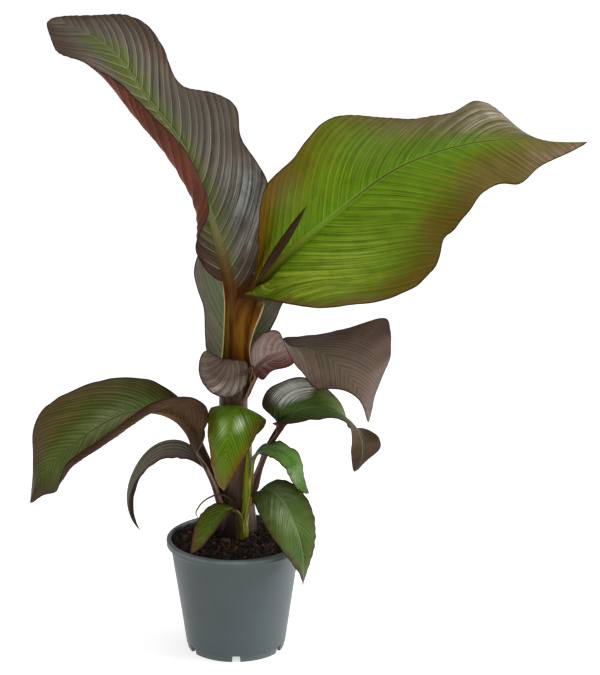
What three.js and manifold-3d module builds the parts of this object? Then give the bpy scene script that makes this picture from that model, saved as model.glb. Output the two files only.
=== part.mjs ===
// Red-leaved ornamental banana plant growing in a round nursery pot.
// Millimetres, +Z up. The origin is the middle of the pot's underside, on the floor,
// and -Y is the side that the plant is viewed from. Headings turn from +X towards +Y.

import * as THREE from "three";
import { mergeVertices } from "three/addons/utils/BufferGeometryUtils.js";
import Module from "manifold-3d";

const wasm = await Module();
wasm.setup();

// Clearance between any two neighbouring pieces
const GAP = 0.3;

// Pot: tapered wall, rolled rim, and a foot ring with notches that let water out.
// The base plate stands on the foot ring and on a flat disc in its middle.
const POT = {
  height: 159,
  rimRadius: 95,
  lipDrop: 10,
  lipCrown: 1.5,
  wallTopRadius: 89.6,
  wall: 2.2,
  footRadius: 67,
  footBand: 6,
  footBandStep: 0.8,
  footRing: 4,
  baseRise: 10,
  baseThickness: 2.5,
  discRadius: 34,
  notches: 6,
  notchWidth: 11,
  notchHeight: 9,
  notchTurn: 1.5,
  segments: 48,
};

// Soil: level where the stems stand, and a little lower at the wall of the pot
const SOIL = { level: 155, levelRadius: 62, edgeDrop: 3, segments: 32 };

// Stems: middles and radii of level sections, evenly spaced from the soil to the top
const STEMS = {
  main_stem: {
    middles: [[1, 33], [0.5, 29], [-0.5, 25], [-1, 20], [-1.5, 15], [3, 9]],
    radii: [29, 24.5, 23.5, 22, 19.5, 20.5],
    height: 247,
    sides: 16,
    sections: 10,
  },
  sprout_stem: {
    middles: [[10.5, 5], [12.5, 3.5], [16, 1.5]],
    radii: [7.5, 6, 4.5],
    height: 62,
    sides: 12,
    sections: 5,
  },
};

// Leaves. Along the whole leaf, from foot to tip:
//   climb, heading, roll: the rib's direction and the blade's tilt about it, in degrees
//   stalk: the share of the length before the blade starts, girth: the stalk's radius
// Across each half of the blade, as seen from the stem, over the upper side:
//   width: at its widest place, which is at the share `widest` of the blade
//   full: how quickly it widens, low for a blunt base
//   fold: its turn about the rib in degrees, curl: the further turn gained at the margin
//   wave: count, start, height and widening of the margin's waves, trim: share of the width
const LEAVES = {
  leaf_upper_right: {
    foot: [12, 1, 399], length: 636, stalk: 0.168, girth: 11, detail: [30, 5],
    climb: [100, 72, 42, 38, 36, 20, 8, -6, 0], heading: [25, 15, 10, 10], roll: [45, 48, 50, 45],
    left: { width: 104, widest: 0.47, full: 0.55, fold: [105, 35, -20, -25, -80], curl: [20, 0, -10],
      wave: [3, 0.86, 5, 0.18],
      trim: [0.6, 0.8, 1, 1.12, 1.18, 1.18, 1.08, 1.01, 0.93, 0.93, 0.95, 0.86, 1.03, 1.08, 1.02, 1, 1] },
    right: { width: 142, widest: 0.38, full: 0.62, fold: [20, 5, 8, 5, -10], curl: [5, 0, -10],
      wave: [4, 0.75, 5, 0],
      trim: [1, 1.04, 1.06, 1.08, 1.1, 1.13, 1.14, 1.08, 0.96, 0.95, 0.9, 0.77, 0.78, 1, 0.82, 0.77, 0.8] },
  },
  leaf_upper_left: {
    foot: [-6, 9, 399], length: 581, stalk: 0.21, girth: 10, detail: [30, 6],
    climb: [90, 92, 74, 72, 62, 46, 52, 22, 10], heading: [150, 155, 150], roll: [-30, -30, -15],
    left: { width: 76, widest: 0.6, full: 0.5, fold: [-20, -8, 5, 3, 0, 0, 0, -5, 0],
      curl: [20, 50, 230, 208, 160, 130, 60, 20, 0], trim: [1, 0.9, 1, 1.08, 1.05, 1.03, 1, 1, 0.5] },
    right: { width: 86, widest: 0.3, full: 0.3, fold: [45, 10, 0, 0, 0], curl: [10, 0, 0],
      wave: [4, 0.3, 4, 0],
      trim: [0.8, 0.82, 0.88, 0.98, 1.03, 1.03, 1.06, 1.33, 1, 0.84, 0.88, 1.05, 1.3, 1.65, 1.8, 1.35,
        1.2] },
  },
  leaf_back: {
    foot: [2, 26, 326], length: 434, stalk: 0.11, girth: 9, detail: [18, 4],
    climb: [96, 80, 74, 54, 16, -18, -48], heading: [80, 62, 45], roll: [0, -5, -10],
    left: { width: 59, widest: 0.35, full: 0.4, fold: [0, 10, 20, 10],
      trim: [1, 0.95, 0.93, 1.3, 1.2, 1.05, 1, 1, 1] },
    right: { width: 66, widest: 0.4, full: 0.4, fold: [20, 0, -10, 0],
      trim: [0.7, 0.76, 0.92, 1.1, 1.1, 1, 1, 1, 1] },
  },
  leaf_side_right: {
    foot: [13, 4, 366], length: 267, stalk: 0.15, girth: 7, detail: [24, 4],
    climb: [66, 48, 12, -26, -52, -88], heading: [-10, -25, -28, -20], roll: [30, 28, 32, 20],
    left: { width: 86, widest: 0.66, full: 0.6, fold: [-125, -72, -40, -24, -18, -15, -15, -20, -30],
      trim: [2, 0.7, 0.5, 0.58, 0.72, 0.76, 0.8, 0.92, 1.14, 1.5, 1.32, 1.15, 0.98, 0.68, 0.45, 0.35,
        0.3] },
    right: { width: 58, widest: 0.42, full: 0.45, fold: [85, 75, 60, 30, 5, -5, -5, 0, 0],
      curl: [110, 120, 100, 40, 10, 0, 0, 0, 0], trim: [1, 0.84, 0.74, 0.9, 1.04, 1, 0.42, 0.2, 0.3] },
  },
  leaf_collar: {
    foot: [22, -8, 402], length: 95, stalk: 0.04, girth: 3, detail: [14, 3],
    climb: [-8, -12, 24, 62, 96], heading: [-135, -158, -185], roll: [-95, -80, -55],
    left: { width: 26, widest: 0.45, full: 0.4, fold: [-5, 10, 30], curl: [10] },
    right: { width: 28, widest: 0.4, full: 0.35, fold: [12], curl: [-10] },
  },
  leaf_low_left: {
    foot: [-13, 14, 207], length: 415, stalk: 0.27, girth: 11, detail: [22, 4],
    climb: [70, 62, 50, 2, -26, -40, -78], heading: [205, 210, 205, 195], roll: [-35, -40, -38, -30],
    left: { width: 56, widest: 0.45, full: 0.35, fold: [100, 60, 30, 20, 0], curl: [10, 20, 20],
      trim: [1, 1.15, 1.3, 1.1, 1, 1, 1, 1, 1] },
    right: { width: 59, widest: 0.52, full: 0.45, fold: [20, 5, -5, -5, -40],
      trim: [0.7, 0.75, 0.86, 1, 1.14, 1.26, 1.2, 0.6, 0.6] },
  },
  leaf_arching: {
    foot: [-15, 34, 205], length: 290, stalk: 0.12, girth: 8, detail: [16, 3],
    climb: [80, 56, 52, 0, -46, -70, -98, -132], heading: [200, 192, 195], roll: [0],
    left: { width: 30, widest: 0.25, full: 0.6, fold: [-50] },
    right: { width: 28, widest: 0.35, full: 0.5, fold: [-55] },
  },
  leaf_right_glossy: {
    foot: [21, 18, 226], length: 310, stalk: 0.36, girth: 9, detail: [20, 3],
    climb: [70, 66, 56, 42, 4, -32, -84, -132], heading: [-40, -30, -20, -40], roll: [25, 30, 25, 10],
    left: { width: 54, widest: 0.45, full: 0.3, fold: [90, 5, -30, -60, -20, -10],
      trim: [1.3, 1.18, 1.12, 0.92, 0.95, 1, 1.05, 1.05, 1] },
    right: { width: 46, widest: 0.35, full: 0.4, fold: [50, 15, 20, 40, 10, 0],
      trim: [1, 1, 0.85, 0.85, 0.9, 1, 1, 1, 1] },
  },
  leaf_low_right: {
    foot: [18, 14, 203], length: 215, stalk: 0.16, girth: 5.5, detail: [14, 3],
    climb: [52, 32, -8, -46, -68, -84, -100], heading: [-55, -48, -25], roll: [10, 15, -10],
    left: { width: 31, widest: 0.45, full: 0.5, fold: [20, 8, 0], curl: [-10] },
    right: { width: 42, widest: 0.45, full: 0.55, fold: [15, 2, 20], curl: [-10] },
  },
  leaf_sprout_front: {
    foot: [16, 1, 215], length: 284, stalk: 0.3, girth: 4.5, detail: [16, 3],
    climb: [102, 98, 86, 32, -52, -76, -90], heading: [-95, -108, -120], roll: [-10, -5, 15],
    left: { width: 42, widest: 0.4, full: 0.55, fold: [-10, -10, 0, 20], curl: [-25] },
    right: { width: 42, widest: 0.4, full: 0.25, fold: [10, -5, -10, -5], curl: [-22] },
  },
  leaf_sprout_right: {
    foot: [17, -5, 203], length: 193, stalk: 0.37, girth: 3.5, detail: [14, 3],
    climb: [78, 84, 80, 20, -24, -72, -36], heading: [-15, -28, -25], roll: [5, 8, 5],
    left: { width: 21, widest: 0.45, full: 0.5, fold: [20, 0, -10] },
    right: { width: 22, widest: 0.45, full: 0.5, fold: [10, 0, -5] },
  },
  leaf_low_front: {
    foot: [9, -2.5, 184], length: 120, stalk: 0.18, girth: 3.5, detail: [12, 3],
    climb: [82, 28, -20, -42, -50, -36], heading: [-130, -138, -150], roll: [-10, -15, -10],
    left: { width: 11, widest: 0.45, full: 0.5, fold: [20, 5, -5] },
    right: { width: 24, widest: 0.45, full: 0.55, fold: [5, 2, -5] },
  },
};

// Blade thickness as a share of the leaf's length, and the keel left at the tip
const BLADE_THICKNESS = 0.01;
const KEEL_AT_TIP = 0.2;
// Span of the blade over which a half takes up its fold
const FOLD_START = -0.06;
const FOLD_END = 0.03;
// Columns crowd towards the rib by this power. Ribs and sections are summed up in small steps
const COLUMN_POWER = 1.6;
const RIB_STEPS = 6;
const ARC_STEPS = 8;

// New leaf still rolled up, and a withered leaf: middles of the sections and radii
const ROLLED_LEAF = {
  middles: [[19, -2, 500.5], [38, -16, 537], [68, -15, 583], [98, -9, 629]],
  radii: [4, 6.5, 5.5, 1.2],
  sides: 10,
  sections: 12,
};
const WITHERED_LEAF = {
  middles: [[3, 1, 155.8], [2, 1, 196], [-4, -1, 213], [-22, -8, 223], [-42, -11, 215], [-53, -13, 200],
    [-51, -14, 191]],
  radii: [3.6, 3.4, 3, 1.8, 1.4, 1.2, 1],
  sides: 8,
  sections: 24,
};

const FINISHES = {
  pot: [0x717d7f, 0.55],
  soil: [0x24180f, 0.95],
  main_stem: [0x5f4318, 0.6],
  sprout_stem: [0x76862a, 0.5],
  rolled_leaf: [0x46302b, 0.45],
  leaf_upper_left: [0x665650, 0.45],
  leaf_upper_right: [0x5f8018, 0.4],
  leaf_back: [0x6b7c64, 0.5],
  leaf_side_right: [0x554a41, 0.5],
  leaf_collar: [0x4c3a32, 0.5],
  leaf_low_left: [0x484f24, 0.45],
  leaf_arching: [0x37382a, 0.45],
  leaf_right_glossy: [0x3f5a2c, 0.35],
  leaf_low_right: [0x5a7846, 0.45],
  leaf_sprout_front: [0x567f14, 0.35],
  leaf_sprout_right: [0x3d6e28, 0.4],
  leaf_low_front: [0x425b12, 0.45],
  withered_leaf: [0x4a4426, 0.7],
};

// Value at share t of a smooth curve through evenly spaced keys
function keyed(keys, t) {
  if (keys.length === 1) {
    return keys[0];
  }
  const place = THREE.MathUtils.clamp(t, 0, 1) * (keys.length - 1);
  const i = Math.min(Math.floor(place), keys.length - 2);
  const f = place - i;
  const [b, c] = [keys[i], keys[i + 1]];
  const a = i > 0 ? keys[i - 1] : 2 * b - c;
  const d = i + 2 < keys.length ? keys[i + 2] : 2 * c - b;
  return b + f * ((c - a) + f * (2 * a - 5 * b + 4 * c - d + f * (3 * (b - c) + d - a))) / 2;
}

const keyedPoint = (points, t) => new THREE.Vector3(
  ...[0, 1, 2].map((axis) => keyed(points.map((point) => point[axis]), t)),
);

const radians = THREE.MathUtils.degToRad;

// Closed body from a list of vertices and a list of triangles
function body(vertices, triangles) {
  const geometry = new THREE.BufferGeometry().setFromPoints(vertices);
  geometry.setIndex(triangles);
  return geometry;
}

function solidOf(geometry) {
  const vertProperties = Float32Array.from(geometry.attributes.position.array);
  const triVerts = Uint32Array.from(geometry.index.array);
  return new wasm.Manifold(new wasm.Mesh({ numProp: 3, vertProperties, triVerts }));
}

function geometryOf(solid) {
  const mesh = solid.getMesh();
  const geometry = new THREE.BufferGeometry();
  geometry.setAttribute("position", new THREE.BufferAttribute(mesh.vertProperties, 3));
  geometry.setIndex(new THREE.BufferAttribute(mesh.triVerts, 1));
  return geometry;
}

// What is left of a piece when others are cut away: its largest body, scraps dropped
function cutAway(geometry, cutters) {
  const left = cutters.reduce((solid, cutter) => solid.subtract(solidOf(cutter)), solidOf(geometry));
  const bodies = left.decompose().sort((a, b) => b.volume() - a.volume());
  return geometryOf(bodies[0]);
}

// Turned shape about Z from a profile of [radius, height] that starts and ends on the axis
function turned(profile, segments) {
  const lathe = new THREE.LatheGeometry(profile.map(([x, y]) => new THREE.Vector2(x, y)), segments);
  lathe.deleteAttribute("normal");
  lathe.deleteAttribute("uv");
  return mergeVertices(lathe.rotateX(Math.PI / 2));
}

// Radius of the pot's outer wall at height z
const wallRadius = (z) => THREE.MathUtils.mapLinear(
  z, 0, POT.height - POT.lipDrop, POT.footRadius, POT.wallTopRadius,
);

function pot() {
  const { height, rimRadius, lipDrop, lipCrown, wall, footBand, footBandStep, baseRise } = POT;
  const lipUnder = height - lipDrop;
  const floor = baseRise + POT.baseThickness;
  const profile = [
    [0, 0],
    [POT.discRadius, 0],
    [POT.discRadius, baseRise],
    [POT.footRadius - POT.footRing, baseRise],
    [POT.footRadius - POT.footRing, 0],
    [POT.footRadius, 0],
    [wallRadius(footBand), footBand],
    [wallRadius(footBand) + footBandStep, footBand + footBandStep],
    [POT.wallTopRadius, lipUnder],
    [rimRadius - lipCrown, lipUnder],
    [rimRadius, lipUnder + lipCrown],
    [rimRadius, height - lipCrown],
    [rimRadius - lipCrown, height],
    [wallRadius(height) - wall, height],
    [wallRadius(floor) - wall, floor],
    [0, floor],
  ];
  const notch = new THREE.BoxGeometry(4 * POT.footRing, POT.notchWidth, 2 * POT.notchHeight);
  notch.deleteAttribute("normal");
  notch.deleteAttribute("uv");
  const cutters = Array.from({ length: POT.notches }, (_, i) => {
    const turn = radians(-90 + POT.notchTurn + (360 * i) / POT.notches);
    return mergeVertices(notch).translate(POT.footRadius, 0, 0).rotateZ(turn);
  });
  return cutAway(turned(profile, POT.segments), cutters);
}

function soil() {
  const bottom = POT.baseRise + POT.baseThickness + GAP;
  const edge = SOIL.level - SOIL.edgeDrop;
  const clear = POT.wall + 2 * GAP;
  return turned([
    [0, bottom],
    [wallRadius(bottom) - clear, bottom],
    [wallRadius(edge) - clear, edge],
    [SOIL.levelRadius, SOIL.level],
    [0, SOIL.level],
  ], SOIL.segments);
}

// Closed body through rings of equal counts, with a point in the middle of each end
function loft(rings) {
  const sides = rings[0].length;
  const middle = (ring) => ring.reduce((sum, p) => sum.add(p), new THREE.Vector3()).divideScalar(sides);
  const vertices = [...rings.flat(), middle(rings[0]), middle(rings.at(-1))];
  const [foot, tip] = [vertices.length - 2, vertices.length - 1];
  const last = (rings.length - 1) * sides;
  const triangles = [];
  for (let j = 0; j < sides; j += 1) {
    const k = (j + 1) % sides;
    triangles.push(foot, k, j, tip, last + j, last + k);
    for (let row = 0; row < last; row += sides) {
      triangles.push(row + j, row + k, row + sides + k, row + j, row + sides + k, row + sides + j);
    }
  }
  return body(vertices, triangles);
}

// Upright stem of level round sections, which starts with a flat cut on the soil
function stem({ middles, radii, height, sides, sections }, grow = 0) {
  const rings = Array.from({ length: sections + 1 }, (_, i) => {
    const t = i / sections;
    const middle = keyedPoint(middles.map(([x, y]) => [x, y, 0]), t);
    const ends = i === 0 ? -grow : (i === sections ? grow : 0);
    middle.z = SOIL.level + GAP + height * t + ends;
    const radius = keyed(radii, t) + grow;
    return Array.from({ length: sides }, (__, j) => {
      const turn = (2 * Math.PI * j) / sides;
      return new THREE.Vector3(radius * Math.cos(turn), radius * Math.sin(turn), 0).add(middle);
    });
  });
  return loft(rings);
}

// Slender round body along a free curve
function quill({ middles, radii, sides, sections }, grow = 0) {
  const curve = new THREE.CatmullRomCurve3(middles.map((point) => new THREE.Vector3(...point)));
  const frames = curve.computeFrenetFrames(sections);
  const rings = Array.from({ length: sections + 1 }, (_, i) => {
    const t = i / sections;
    const middle = curve.getPointAt(t);
    const radius = keyed(radii, curve.getUtoTmapping(t)) + grow;
    return Array.from({ length: sides }, (__, j) => {
      const turn = (2 * Math.PI * j) / sides;
      return middle.clone()
        .addScaledVector(frames.normals[i], radius * Math.cos(turn))
        .addScaledVector(frames.binormals[i], radius * Math.sin(turn));
    });
  });
  return loft(rings);
}

// Direction of a leaf's rib at share t of its length
function ribDirection(leaf, t) {
  const climb = radians(keyed(leaf.climb, t));
  const heading = radians(keyed(leaf.heading, t));
  const level = Math.cos(climb);
  return new THREE.Vector3(level * Math.cos(heading), level * Math.sin(heading), Math.sin(climb));
}

// Left side and upper side of the blade at share t, after its roll about the rib
function bladeSides(leaf, t) {
  const heading = radians(keyed(leaf.heading, t));
  const roll = radians(keyed(leaf.roll, t));
  const level = new THREE.Vector3(-Math.sin(heading), Math.cos(heading), 0);
  const above = ribDirection(leaf, t).cross(level);
  const side = level.clone().multiplyScalar(Math.cos(roll)).addScaledVector(above, Math.sin(roll));
  const upper = above.multiplyScalar(Math.cos(roll)).addScaledVector(level, -Math.sin(roll));
  return { side, upper };
}

// Points of the rib at the stations, by small straight steps
function ribPoints(leaf, stations) {
  const steps = stations * RIB_STEPS;
  const place = new THREE.Vector3(...leaf.foot);
  const points = [place.clone()];
  for (let i = 0; i < steps; i += 1) {
    place.addScaledVector(ribDirection(leaf, (i + 0.5) / steps), leaf.length / steps);
    if ((i + 1) % RIB_STEPS === 0) {
      points.push(place.clone());
    }
  }
  return points;
}

// Margin's wave at share u of the blade, which fades out at both ends
function marginWave([count, start], u) {
  return Math.sin(2 * Math.PI * (count * u + start)) * Math.sqrt(4 * u * (1 - u));
}

// Width of one half of the blade at share u
function halfWidth({ width, widest, full, wave = [0, 0, 0, 0], trim = [1] }, u) {
  const fall = (full * (1 - widest)) / widest;
  const outline = (u / widest) ** full * ((1 - u) / (1 - widest)) ** fall;
  return width * outline * (1 + wave[3] * marginWave(wave, u)) * keyed(trim, u);
}

// One half of a cross section: columns from the rib to the margin, each with its place along
// the side and upper directions, the same for its face direction, and its distance to the rib
function halfSection(leaf, half, t, columns, grow) {
  const share = (t - leaf.stalk) / (1 - leaf.stalk);
  const u = THREE.MathUtils.clamp(share, 0, 1);
  const keel = leaf.girth * (1 - (1 - KEEL_AT_TIP) * t);
  const width = Math.max(keel, halfWidth(half, u)) + grow;
  const opening = THREE.MathUtils.smoothstep(share, FOLD_START, FOLD_END);
  const fold = radians(keyed(half.fold, u)) * opening;
  const curl = radians(keyed(half.curl ?? [0], u)) * opening;
  const lift = half.wave ? half.wave[2] * marginWave(half.wave, u) : 0;
  const section = [{ along: 0, above: 0, turn: 0, reach: 0 }];
  let [along, above, from] = [0, 0, 0];
  for (let j = 1; j <= columns; j += 1) {
    const to = (j / columns) ** COLUMN_POWER;
    for (let s = 0; s < ARC_STEPS; s += 1) {
      const v = from + ((to - from) * (s + 0.5)) / ARC_STEPS;
      const step = (width * (to - from)) / ARC_STEPS;
      along += step * Math.cos(fold + curl * v * v);
      above += step * Math.sin(fold + curl * v * v);
    }
    from = to;
    section.push({ along, above: above + lift * to * to, turn: fold + curl * to * to, reach: width * to });
  }
  return section.map((column) => ({ ...column, keel }));
}

// Leaf with its stalk: an upper and a lower face over the same columns, closed all round
function leafBody(leaf, grow = 0) {
  const [stations, columns] = leaf.detail;
  const face = (leaf.length * BLADE_THICKNESS) / 2 + grow;
  const upperFace = [];
  const lowerFace = [];
  ribPoints(leaf, stations).forEach((place, i) => {
    const t = i / stations;
    const { side, upper } = bladeSides(leaf, t);
    const left = halfSection(leaf, leaf.left, t, columns, grow).map((column) => ({ ...column, hand: 1 }));
    const right = halfSection(leaf, leaf.right, t, columns, grow).map((column) => ({ ...column, hand: -1 }));
    for (const column of [...left.reverse(), ...right.slice(1)]) {
      const { along, above, turn, reach, keel, hand } = column;
      const depth = Math.max(face, Math.sqrt(Math.max(0, (keel + grow) ** 2 - reach ** 2)));
      const point = (distance) => place.clone()
        .addScaledVector(side, hand * (along - distance * Math.sin(turn)))
        .addScaledVector(upper, above + distance * Math.cos(turn));
      upperFace.push(point(face));
      lowerFace.push(point(-depth));
    }
  });
  return sheet(upperFace, lowerFace, stations + 1, 2 * columns + 1);
}

// Closed body between two faces, each a grid of rows by columns
function sheet(upperFace, lowerFace, rows, columns) {
  const below = upperFace.length;
  const triangles = [];
  const quad = (a, b, c, d) => triangles.push(a, b, c, a, c, d);
  for (let i = 0; i + 1 < rows; i += 1) {
    for (let j = 0; j + 1 < columns; j += 1) {
      const a = i * columns + j;
      quad(a, a + 1, a + 1 + columns, a + columns);
      quad(below + a, below + a + columns, below + a + 1 + columns, below + a + 1);
    }
    const [first, last] = [i * columns, (i + 1) * columns - 1];
    quad(first, first + columns, below + first + columns, below + first);
    quad(last, below + last, below + last + columns, last + columns);
  }
  const tip = (rows - 1) * columns;
  for (let j = 0; j + 1 < columns; j += 1) {
    quad(j, below + j, below + j + 1, j + 1);
    quad(tip + j, tip + j + 1, below + tip + j + 1, below + tip + j);
  }
  return body([...upperFace, ...lowerFace], triangles);
}

const plant = new THREE.Group();

function place(name, geometry) {
  const [color, roughness] = FINISHES[name];
  const material = new THREE.MeshStandardMaterial({ color, roughness, metalness: 0 });
  const mesh = new THREE.Mesh(geometry, material);
  mesh.name = name;
  plant.add(mesh);
}

place("pot", pot());
place("soil", soil());

// Each leaf makes way for the stems and for the leaves before it
const standing = Object.values(STEMS).map((sizes) => stem(sizes, GAP));
place("main_stem", stem(STEMS.main_stem));
place("sprout_stem", cutAway(stem(STEMS.sprout_stem), [stem(STEMS.main_stem, GAP)]));

for (const [name, leaf] of Object.entries(LEAVES)) {
  place(name, cutAway(leafBody(leaf), standing));
  standing.push(leafBody(leaf, GAP));
}
place("rolled_leaf", cutAway(quill(ROLLED_LEAF), standing));
place("withered_leaf", cutAway(quill(WITHERED_LEAF), standing));

export default plant;
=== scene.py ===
"""Red-leaved ornamental banana plant in a round nursery pot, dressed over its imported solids.

Sizes are millimetres in the part's own frame: +Z up, the origin under the pot, and -Y towards the
viewer. Every piece is a surface worked out as whole arrays, and is put down in metres.
"""
import math
from types import SimpleNamespace

import bpy
import numpy as np
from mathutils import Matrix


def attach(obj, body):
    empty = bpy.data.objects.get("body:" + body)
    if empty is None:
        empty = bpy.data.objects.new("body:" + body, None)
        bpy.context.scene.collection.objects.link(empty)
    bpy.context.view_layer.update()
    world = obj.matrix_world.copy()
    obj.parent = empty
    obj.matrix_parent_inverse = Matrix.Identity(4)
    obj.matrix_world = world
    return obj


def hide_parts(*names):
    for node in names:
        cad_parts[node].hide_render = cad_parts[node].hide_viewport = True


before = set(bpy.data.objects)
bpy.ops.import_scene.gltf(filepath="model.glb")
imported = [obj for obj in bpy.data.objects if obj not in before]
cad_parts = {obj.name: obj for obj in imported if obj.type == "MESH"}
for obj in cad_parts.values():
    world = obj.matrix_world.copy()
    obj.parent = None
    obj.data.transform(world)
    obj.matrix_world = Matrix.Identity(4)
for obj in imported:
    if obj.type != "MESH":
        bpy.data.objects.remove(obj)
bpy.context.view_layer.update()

METRE = 0.001
BODY = "root"
CLEARANCE = 0.3

# Pot: the sizes of its solid, the neck that the wall has under the lip, and the grid
POT = dict(
    height=159, rim_radius=95, lip_drop=10, lip_crown=1.5, wall_top_radius=89.6, wall=2.2,
    foot_radius=67, foot_band=6, foot_band_step=0.8, foot_ring=4, base_rise=10, base_thickness=2.5,
    disc_radius=34, notches=6, notch_width=11, notch_height=9, notch_turn=1.5,
    notch_slant=0.006, neck=6, neck_inset=0.2, neck_flare=0.6, lip_inset=1, rim_fall=0.5,
    hub=1, slack=0.5, spacing=4, sides=240,
)
CORNER_POINTS = 7
# Soil: the sizes of its solid, its gap to the wall, the waves of its uneven top, and the grid
SOIL = dict(
    level=155, level_radius=62, edge_drop=3, wall_gap=0.6, unevenness=1.3, waves=40, shortest=5,
    longest=30, seed=5, bottom_hub=2, top_hub=0.7, rings=70, sides=180,
)
# Bark chips: grid of one chip, how blunt and uneven it is, how the lengths are drawn, width and thickness
# as shares of the length, tilt, how far out they lie, the bare middle, and how far they are raised
CHIPS = dict(
    count=2000, rows=4, sides=7, seed=11, power=0.6, uneven=0.28, lengths=3, spread=0.7, least=0.7,
    slender=[0.08, 0.7], stub=0.2, flat=0.6, tilt=0.45, reach=83, bare=0.02, raised=0.3,
)
# Stems: the sizes of their solids, with a shorter cone on top of the main one. Each sheath has the heading
# of its leaf and the height where its stalk leaves the stem.
MAIN_STEM = dict(
    middles=[[1, 33], [0.5, 29], [-0.5, 25], [-1, 20], [-1.5, 15], [3, 9]],
    radii=[29, 24.5, 23.5, 22, 19.5, 20.5], height=247, cone=12, sides=200, sections=240,
    sheaths=[[205, 214], [200, 210], [-40, 232], [-55, 208], [-10, 372], [80, 332], [25, 420],
             [150, 420], [-120, 404]],
    sheath_thickness=1.1,
)
SPROUT_STEM = dict(
    middles=[[10.5, 5], [12.5, 3.5], [16, 1.5]], radii=[7.5, 6, 4.5], height=62, cone=6, sides=72,
    sections=80, sheaths=[[-95, 232], [-20, 208], [-130, 188]], sheath_thickness=0.6,
)
# Every stem: how deep it is sunk in the soil, and where its top closes and how far it stays open
STEM_SUNK = 2
STEM_CLOSES, STEM_TIP = 0.02, 0.001
# Every sheath: the half angle that it covers at its stalk, how much wider it grows, from where and over
# which share of the stem's height, how soft its edge and its upper end are, and where its edge shows
SHEATH_ANGLE, SHEATH_WIDENING, SHEATH_SETS_IN, SHEATH_RUN = 48, 118, -6, 0.62
SHEATH_EDGE_SPAN, SHEATH_END_SPAN = [-0.5, 0.9], [-2, 6]
SHEATH_SHOWS, NO_EDGE = 2, 99
# Streaks of the stems are spread round an axis this far back
STREAK_AXIS, STREAK_SCALE = 20, 9

# Rolled leaf and withered leaf: middles and radii along the roll, how flat its section is, how often its
# seam winds about it, the seam's step and the depth of the furrows, as shares of the radius
ROLLED_LEAF = dict(
    middles=[[19, -2, 500.5], [38, -16, 537], [68, -15, 583], [98, -9, 629]],
    radii=[0.9, 1.1, 2, 4.6, 7, 7.6, 6.6, 4.4, 0.5], sides=72, sections=160, flat=0.72, turns=0.2,
    seam=0.2, furrows=0.05,
)
WITHERED_LEAF = dict(
    middles=[[3, 1, 155.8], [2, 1, 196], [-4, -1, 213], [-22, -8, 223], [-42, -11, 215], [-53, -13, 200],
             [-51, -14, 191]],
    radii=[3.6, 3.4, 3, 1.8, 1.4, 1.2, 0.5], sides=36, sections=220, flat=0.7, turns=1.5, seam=0.1,
    furrows=0.12,
)
FURROW_COUNT, FURROW_SWAY, FURROW_BENDS = 9, 3, 5

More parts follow.
